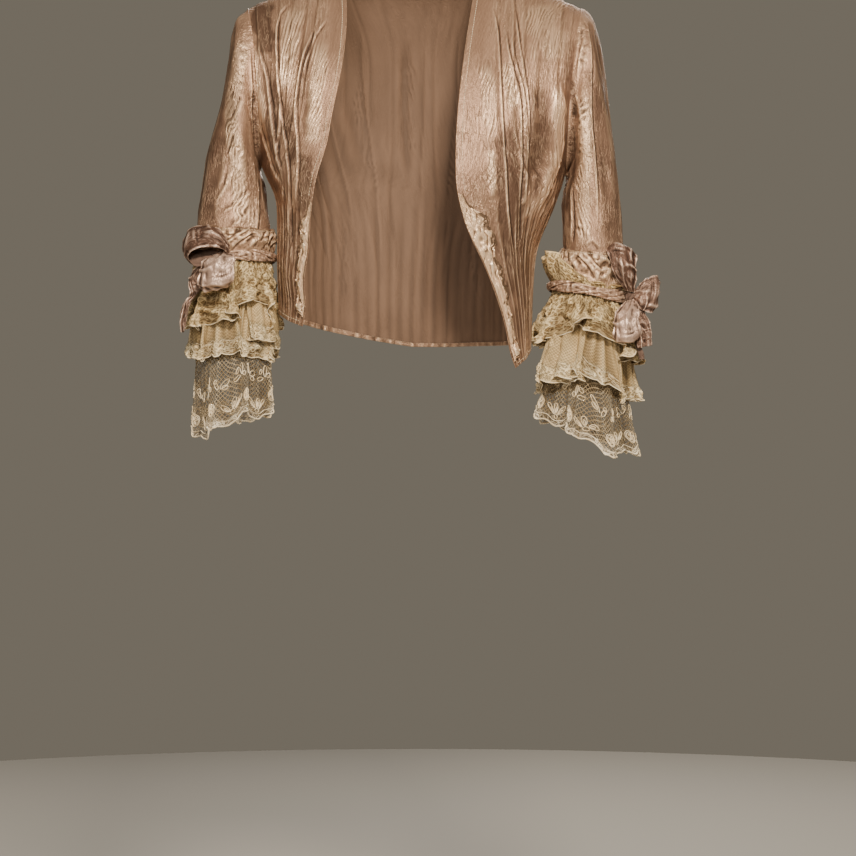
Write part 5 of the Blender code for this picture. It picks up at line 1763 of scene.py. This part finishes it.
def net_threads(tree, spacing):
    """1 on the threads of a fine diamond net and 0 in its holes."""
    across, along = mark(tree, 0), mark(tree, 1)
    lines = []
    for sign in (1, -1):
        slant = product_sum(tree, along, sign * NET_SLANT, across)
        beat = calculate(tree, "PINGPONG", calculate(tree, "DIVIDE", slant, spacing), 0.5)
        lines.append(between(tree, beat, NET_THREAD * 0.7, NET_THREAD, 1, 0))
    return calculate(tree, "MAXIMUM", *lines)


def lace_work(tree, cell, line):
    """Winding cords of cloth-work over the net: 1 on a cord, 0 off it."""
    place = cloth_place(tree, cell, cell)
    bend_inputs = {"Vector": place, "Scale": 1.3, "Detail": 1.0}
    bend = add_node(tree, "ShaderNodeTexNoise", bend_inputs, noise_dimensions="2D").outputs["Color"]
    offset_inputs = {0: bend, 1: (0.9, 0.9, 0), 2: place}
    offset = add_node(tree, "ShaderNodeVectorMath", offset_inputs, operation="MULTIPLY_ADD").outputs[0]
    cells = add_node(
        tree,
        "ShaderNodeTexVoronoi",
        {"Vector": offset, "Scale": 1.0, "Randomness": 0.9},
        feature="DISTANCE_TO_EDGE",
        voronoi_dimensions="2D",
    ).outputs["Distance"]
    return between(tree, cells, line * 0.6, line, 1, 0)


def border_work(tree, look, in_border):
    """1 on the cloth-work of a tier's border and on its firm edge, and 0 elsewhere."""
    cords = lace_work(tree, look.cell, 0.16)
    small = lace_work(tree, look.cell * 0.5, 0.2)
    spots = between(tree, cloth_noise(tree, look.cell * 1.6, look.cell * 1.6, 1), 0.52, 0.6, 0, 1)
    work = calculate(tree, "MAXIMUM", cords, product(tree, small, spots))
    edge = between(tree, mark(tree, 1), 0.8, 1.8, 1, 0)
    return calculate(tree, "MAXIMUM", product(tree, work, in_border), edge)


def lace_colour(tree, look, in_border, threads, solid):
    """Aged lace: pale cloth-work and threads, darker away from the hem, with painted shade in the holes and
    in the folds and a painted highlight on the folds' crests.
    """
    relief = mark(tree, 2)
    aged = between(tree, cloth_noise(tree, 20, 20, 3), 0.3, 0.7, 0, 1)
    thread_tone = blend_colours(tree, aged, look.net, look.thread)
    # The holes in the border are painted with shade.
    hole = blend_colours(tree, in_border, look.net, LACE_SHADOW)
    base = blend_colours(tree, product_sum(tree, threads, 0.6, 0.25), hole, thread_tone)
    pale = blend_colours(tree, aged, look.thread, look.cord)
    colour = blend_colours(tree, solid, base, pale)
    # Painted highlight on the folds' crests and painted shade in their hollows.
    colour = blend_colours(tree, between(tree, relief, 0.2, 1, 0, look.shade * 0.5), colour, look.cord)
    return blend_colours(tree, between(tree, relief, -0.9, 0.0, look.shade, 0), colour, LACE_SHADOW)


def lace_material(name, look):
    """Cotton lace: a diamond net, with winding cloth-work in the border along the hem."""
    material, tree, shader = new_material(name)
    threads = net_threads(tree, look.mesh)
    in_border = between(tree, mark(tree, 1), look.border - 2.5, look.border + 2.5, 1, 0)
    solid = border_work(tree, look, in_border)
    ground = calculate(tree, "MAXIMUM", product(tree, in_border, look.border_veil), look.veil)
    alpha = calculate(tree, "MAXIMUM", calculate(tree, "MAXIMUM", threads, ground), solid)
    colour = lace_colour(tree, look, in_border, threads, solid)
    height = product_sum(tree, solid, 1.0, product(tree, threads, LACE_THREAD_HEIGHT))
    bump = {"Height": height, "Strength": 1.0, "Distance": LACE_BUMP_REACH}
    inputs = {"Base Color": colour, "Alpha": alpha, "Roughness": LACE_ROUGH}
    inputs["Specular IOR Level"] = LACE_SPECULAR
    inputs["Normal"] = add_node(tree, "ShaderNodeBump", bump).outputs[0]
    set_inputs(tree, shader, inputs)
    return material


def cord_material():
    """The thick cream cord that outlines the lace."""
    material, tree, shader = new_material("lace_cord")
    aged = between(tree, cloth_noise(tree, 9, 9, 3), 0.3, 0.7, 0, 1)
    twist = add_node(tree, "ShaderNodeTexNoise", {"Scale": 1400.0, "Detail": 1.0}).outputs["Fac"]
    bump = add_node(tree, "ShaderNodeBump", {"Height": twist, "Strength": 0.4, "Distance": 0.0004})
    inputs = {"Base Color": blend_colours(tree, aged, *CORD_COLOURS), "Roughness": CORD_ROUGH}
    set_inputs(tree, shader, inputs | {"Normal": bump.outputs[0]})
    return material


def make_materials():
    """Every cloth that the jacket is made of."""
    materials = {key: satin_material(look) for key, look in SATIN_LOOKS.items()}
    for tier_name, look in LACE_LOOKS.items():
        materials[tier_name] = lace_material(f"lace_{tier_name}_cloth", look)
    materials["cord"] = cord_material()
    return materials


def add_piece(name, sheets, material):
    """Makes a mesh piece from marked sheets, with a map of its own for each corner."""
    sheets = sheets if isinstance(sheets, list) else [sheets]
    points, marks, extras, faces, spots = [], [], [], [], []
    count = 0
    for sheet in sheets:
        rows, columns = sheet.shape[:2]
        index = count + np.arange(rows * columns).reshape(rows, columns)
        corners = [index[:-1, :-1], index[:-1, 1:], index[1:, 1:], index[1:, :-1]]
        faces.append(np.stack([c.ravel() for c in corners], axis=1))
        points.append(sheet[..., :3].reshape(-1, 3) * MM)
        marks.append(sheet[..., 3:6].reshape(-1, 3))
        extra = np.zeros((rows * columns, 2))
        extra[:, : sheet.shape[2] - 6] = sheet[..., 6:].reshape(rows * columns, -1)
        extras.append(extra)
        spots.append(np.stack(np.meshgrid(np.linspace(0, 1, columns), np.linspace(1, 0, rows)), axis=-1))
        count += rows * columns
    faces = np.concatenate(faces)
    mesh = bpy.data.meshes.new(name)
    mesh.from_pydata(np.concatenate(points).tolist(), [], faces.tolist())
    cloth = mesh.attributes.new("cloth", "FLOAT_VECTOR", "POINT")
    cloth.data.foreach_set("vector", np.concatenate(marks).ravel().astype(np.float32))
    extras = np.concatenate(extras).astype(np.float32)
    # The tone carries the painted highlight and painted shade of the satin's colour.
    for column, extra_name in enumerate(("tone", "beat")):
        attribute = mesh.attributes.new(extra_name, "FLOAT", "POINT")
        attribute.data.foreach_set("value", np.ascontiguousarray(extras[:, column]))
    spots = np.concatenate([spot.reshape(-1, 2) for spot in spots])
    uv = mesh.uv_layers.new(name="map")
    uv.data.foreach_set("uv", spots[faces.ravel()].ravel().astype(np.float32))
    mesh.shade_smooth()
    mesh.materials.append(material)
    piece = bpy.data.objects.new(name, mesh)
    bpy.context.scene.collection.objects.link(piece)
    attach(piece, "root")
    return piece


def add_fronts(materials):
    """Both fronts with the crumpled strips on their edges."""
    for side in SIDES:
        front = front_sheet(side)
        normals = panel_normals(front[..., :3], -1)
        strip = facing_sheet(side, front)
        sheet = turn_edge(front, "first", normals)
        sheet = turn_edge(sheet, "bottom", panel_normals(sheet[..., :3], -1))
        sheet = faced(sheet, panel_normals(sheet[..., :3], -1))
        piece = add_piece(f"front_{side}_satin", sheet, materials["satin"])
        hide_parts(f"front_{side}")
        edged = turn_edge(strip, "last", panel_normals(strip[..., :3], -1), radius=THIN_HEM_RADIUS)
        edged = faced(edged, panel_normals(edged[..., :3], -1))
        piece = add_piece(f"facing_{side}_satin", edged, materials["edge"])
        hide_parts(f"facing_{side}")


def add_back(materials):
    """The back."""
    back = back_sheet()
    sheet = turn_edge(back, "bottom", panel_normals(back[..., :3], 1))
    sheet = faced(sheet, panel_normals(sheet[..., :3], 1))
    piece = add_piece("back_satin", sheet, materials["satin"])
    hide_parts("back")


def add_sleeve(side, materials):
    """A sleeve and its crumpled band."""
    sleeve = sleeve_sheet(side)
    sleeve = faced(sleeve, tube_normals(sleeve[..., :3]))
    piece = add_piece(f"sleeve_{side}_satin", sleeve, materials["satin"])
    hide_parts(f"sleeve_{side}")
    band = band_sheet(side)
    edged = turn_edge(band, "top", tube_normals(band[..., :3]), radius=THIN_HEM_RADIUS)
    edged = faced(edged, tube_normals(edged[..., :3]))
    piece = add_piece(f"cuff_band_{side}_satin", edged, materials["band"])
    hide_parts(f"cuff_band_{side}")


def add_ribbons(side, materials):
    """The ribbon round a cuff and the bow's knot, loops and tails."""
    wrap = ribbon_sheet(side)
    piece = add_piece(f"ribbon_{side}_wrap", wrap, materials["wrap"])
    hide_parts(f"ribbon_{side}")
    piece = add_piece(f"bow_{side}_knot_wrap", knot_sheet(side), materials["mauve"])
    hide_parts(f"bow_{side}_knot")
    for name in BOWS[side]:
        loop = strip_sheet(side, name)
        piece = add_piece(f"bow_{side}_{name}_ribbon", loop, materials["mauve"])
        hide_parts(f"bow_{side}_{name}")


def add_lace(side, materials):
    """The three tiers of lace on a sleeve, and the heading on the left cuff."""
    for tier_name in FLOUNCE_MESH:
        sheet = flounce_sheet(side, tier_name)
        piece = add_piece(f"flounce_{tier_name}_{side}_lace", sheet, materials[tier_name])
        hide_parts(f"flounce_{tier_name}_{side}")
        add_lace_cords(side, tier_name, sheet, materials["cord"])
    fall = cascade_sheet(side)
    piece = add_piece(f"cascade_{side}_lace", fall, materials["middle"])
    cord = tube_sheet(fall[-1, :, :3], CASCADE_CORD, CASCADE_CORD_SIDES)
    add_piece(f"cord_cascade_{side}", cord, materials["cord"])
    if side == "left":
        frill = frill_sheet()
        piece = add_piece("cuff_frill_left_lace", frill, materials["upper"])
        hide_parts("cuff_frill_left")


def tube_sheet(line, radius, sides=6):
    """A closed tube of the given radius along a line of points, as a marked sheet."""
    ahead = unit(np.gradient(line, axis=0))
    first = unit(np.cross(ahead, (0, 0, 1.0)))
    second = np.cross(ahead, first)
    turns = np.linspace(0, 2 * pi, sides + 1)
    rings = [line + radius * (first * cos(turn) + second * sin(turn)) for turn in turns]
    run = run_along(line)
    return marked(np.stack(rings, axis=1), turns[None, :] * radius, run[:, None], 0.0)


def stitch_tubes(line, normals):
    """Running stitches along a line of points on the cloth, as small marked tubes."""
    run = run_along(line)
    tubes = []
    for start in np.arange(1, run[-1] - STITCH_PITCH, STITCH_PITCH):
        places = start + np.array([0, 0.5, 1]) * STITCH_LENGTH
        points = np.stack([np.interp(places, run, line[:, k]) for k in range(3)], axis=1)
        away = np.stack([np.interp(places, run, normals[:, k]) for k in range(3)], axis=1)
        points = points + away * np.array([[0.0], [STITCH_LIFT], [0.0]])
        tubes.append(tube_sheet(points, STITCH_RADIUS, 4))
    return tubes


def add_stitching(material):
    """Running stitches on the front edges, the hems and the tops of the cuff bands."""
    tubes = []
    for side in SIDES:
        front = front_sheet(side)
        normals = panel_normals(front[..., :3], -1)
        last = int(FACING_SPAN[side][0] * FRONT_MESH[0])
        tubes += stitch_tubes(front[12:last, EDGE_STITCH, :3], normals[12:last, EDGE_STITCH])
        tubes += stitch_tubes(front[-HEM_STITCH, 12:, :3], normals[-HEM_STITCH, 12:])
        band = band_sheet(side)
        normals = tube_normals(band[..., :3])
        tubes += stitch_tubes(band[BAND_STITCH, 2:-2, :3], normals[BAND_STITCH, 2:-2])
    back = back_sheet()
    normals = panel_normals(back[..., :3], 1)
    tubes += stitch_tubes(back[-HEM_STITCH, 2:-2, :3], normals[-HEM_STITCH, 2:-2])
    add_piece("stitching_satin", tubes, material)


def on_sheet(sheet, across, up, lift):
    """Points on a flounce at places across it and up from its hem, in millimetres, lifted off it."""
    rows, columns = sheet.shape[:2]
    column = np.clip(np.asarray(across) / HEM_ROUND * (columns - 1), 0, columns - 1.001)
    low = column.astype(int)
    part = (column - low)[:, None]
    normals = tube_normals(sheet[..., :3])
    found = []
    for side in (low, low + 1):
        length = sheet[0, side, 4]
        row = np.clip((1 - np.asarray(up) / length) * (rows - 1), 0, rows - 1.001)
        start = row.astype(int)
        step = (row - start)[:, None]
        here = sheet[start, side, :3] + lift * normals[start, side]
        there = sheet[start + 1, side, :3] + lift * normals[start + 1, side]
        found.append(here * (1 - step) + there * step)
    return found[0] * (1 - part) + found[1] * part


def ring_line(across, up, radius, count=22, squash=1.0, turn=0.0):
    """Places round a ring, from its start back to it."""
    turns = np.linspace(0, 2 * pi, count + 1) + turn
    return across + radius * np.cos(turns), up + squash * radius * np.sin(turns)


def petal_line(across, up, turn, inner, outer, half_width):
    """Places round a pointed petal that leaves a middle at the given turn."""
    t = np.linspace(0, 2 * pi, 13)
    out = (inner + outer) / 2 - (outer - inner) / 2 * np.cos(t)
    side = half_width * np.sin(t) * np.abs(np.sin(t / 2)) ** 0.5
    return across + out * cos(turn) - side * sin(turn), up + out * sin(turn) + side * cos(turn)


def spray_lines(across, up):
    """A sprig: three long petals with a line in each, over a small ring."""
    lines = []
    for turn in (0.6, 1.4, 2.3):
        lines.append(petal_line(across, up - 8, turn, 3, 14, 2.4))
        lines.append(petal_line(across, up - 8, turn, 4, 10, 0.8))
    lines.append(ring_line(across, up - 8, 2.2, 12))
    return lines


def flower_lines(across, up):
    """A flower of five petals in a double ring."""
    lines = [ring_line(across, up, radius, squash=0.85) for radius in (8.2, 6.6)]
    for petal in range(5):
        lines.append(petal_line(across, up, petal * 2 * pi / 5 + 0.3, 0.8, 5.2, 1.1))
    return lines


def motif_lines(repeat, seed):
    """The lines of the raised cords of a flounce with deep scallops: places across and up."""
    everywhere = np.linspace(1, HEM_ROUND - 1, CORD_STEPS)
    lines = [(everywhere, 5.5 + 0.8 * waver(everywhere, 12, seed))]
    for index in range(int(HEM_ROUND / repeat)):
        across = (index + 0.5) * repeat
        up = 19 + 3 * float(noise(index * 1.7, 0.5, seed + 2))
        lines += flower_lines(across, up) if index % 2 else spray_lines(across, up)
        for step in (-1, 1):
            lines.append(ring_line(across + step * repeat * 0.26, 47 + 4 * step, 2.6, 12))
        lean = 0.3 * (-1) ** index
        lines.append(petal_line(across + repeat * 0.5, 40, 1.2 + lean, 2, 15, 2.8))
        lines.append(petal_line(across + repeat * 0.5, 40, 2.4 + lean, 2, 12, 2.4))
    return lines


def border_lines(seed):
    """The raised cords of a crumpled dense border: two wavering lines and a row of small loops."""
    everywhere = np.linspace(1, HEM_ROUND - 1, CORD_STEPS)
    lines = [(everywhere, 4.5 + 0.9 * waver(everywhere, 9, seed))]
    lines.append((everywhere, 15.5 + 1.6 * waver(everywhere, 11, seed + 1)))
    for index in range(int(HEM_ROUND / BORDER_LOOP)):
        across = (index + 0.5) * BORDER_LOOP
        lines.append(ring_line(across, 10 + float(noise(index * 2.3, 0.5, seed + 2)), 3.6, 12, squash=1.1))
    return lines


def cord_tubes(sheet, lines, radius):
    """Marked tubes along places on a flounce."""
    tubes = []
    for across, up in lines:
        inside = (np.asarray(across) > 0.5) & (np.asarray(across) < HEM_ROUND - 0.5)
        if inside.all():
            tubes.append(tube_sheet(on_sheet(sheet, across, up, CORD_LIFT), radius, CORD_SIDES))
    return tubes


def add_lace_cords(side, tier_name, sheet, material):
    """The cords along a flounce's hem and round its motifs."""
    look = LACE_TIERS[tier_name]
    seed = 140 + len(tier_name) + (0 if side == "left" else 9)
    tubes = [tube_sheet(sheet[-1, :, :3], look.cord)]
    lines = {"lower": motif_lines(look.repeat, seed), "middle": border_lines(seed), "upper": []}[tier_name]
    tubes += cord_tubes(sheet, lines, MOTIF_CORD[tier_name])
    add_piece(f"cords_{tier_name}_{side}", tubes, material)


def add_light(light):
    """A soft area light that looks at the middle of the jacket."""
    lamp_data = bpy.data.lights.new(light.name, "AREA")
    lamp_data.size = light.size
    lamp_data.energy = light.power
    lamp_data.color = light.colour
    lamp = bpy.data.objects.new(light.name, lamp_data)
    lamp.location = light.place
    aim = Vector(np.subtract(LIGHTS_LOOK_AT, light.place))
    lamp.rotation_euler = aim.to_track_quat("-Z", "Y").to_euler()
    bpy.context.scene.collection.objects.link(lamp)


def add_floor():
    """The pale round floor."""
    turns = np.linspace(0, 2 * pi, FLOOR_SIDES + 1)[:-1]
    points = [(FLOOR_RADIUS * cos(t), FLOOR_RADIUS * sin(t), FLOOR_Z) for t in turns]
    mesh = bpy.data.meshes.new("floor")
    mesh.from_pydata(points, [], [list(range(len(points)))])
    floor = bpy.data.objects.new("floor", mesh)
    bpy.context.scene.collection.objects.link(floor)
    material, tree, shader = new_material("floor")
    set_inputs(tree, shader, {"Base Color": (*FLOOR_COLOUR, 1), "Roughness": FLOOR_ROUGH})
    mesh.materials.append(material)


def add_studio():
    """The floor, the soft lights and the wall's tone."""
    add_floor()
    world = bpy.data.worlds.new("studio")
    world.use_nodes = True
    tree = world.node_tree
    seen_wall = add_node(tree, "ShaderNodeLightPath").outputs["Is Camera Ray"]
    tone = blend_colours(tree, seen_wall, ROOM, WALL)
    tree.links.new(tone, tree.nodes["Background"].inputs["Color"])
    bpy.context.scene.world = world
    for light in LIGHTS:
        add_light(light)


def add_camera():
    """The camera, at the photo's height and distance."""
    lens = bpy.data.cameras.new("camera")
    lens.sensor_width = SENSOR_MM
    lens.lens = SENSOR_MM * FOCAL_PIXELS / PHOTO_PIXELS
    camera = bpy.data.objects.new("camera", lens)
    camera.location = CAMERA_AT
    camera.rotation_euler = (pi / 2, 0, 0)
    bpy.context.scene.collection.objects.link(camera)
    bpy.context.scene.camera = camera


def main():
    """Dresses the frame and sets the studio."""
    add_camera()
    add_studio()
    materials = make_materials()
    add_fronts(materials)
    add_back(materials)
    add_stitching(materials["cord"])
    for side in SIDES:
        add_sleeve(side, materials)
        add_lace(side, materials)
        add_ribbons(side, materials)


main()
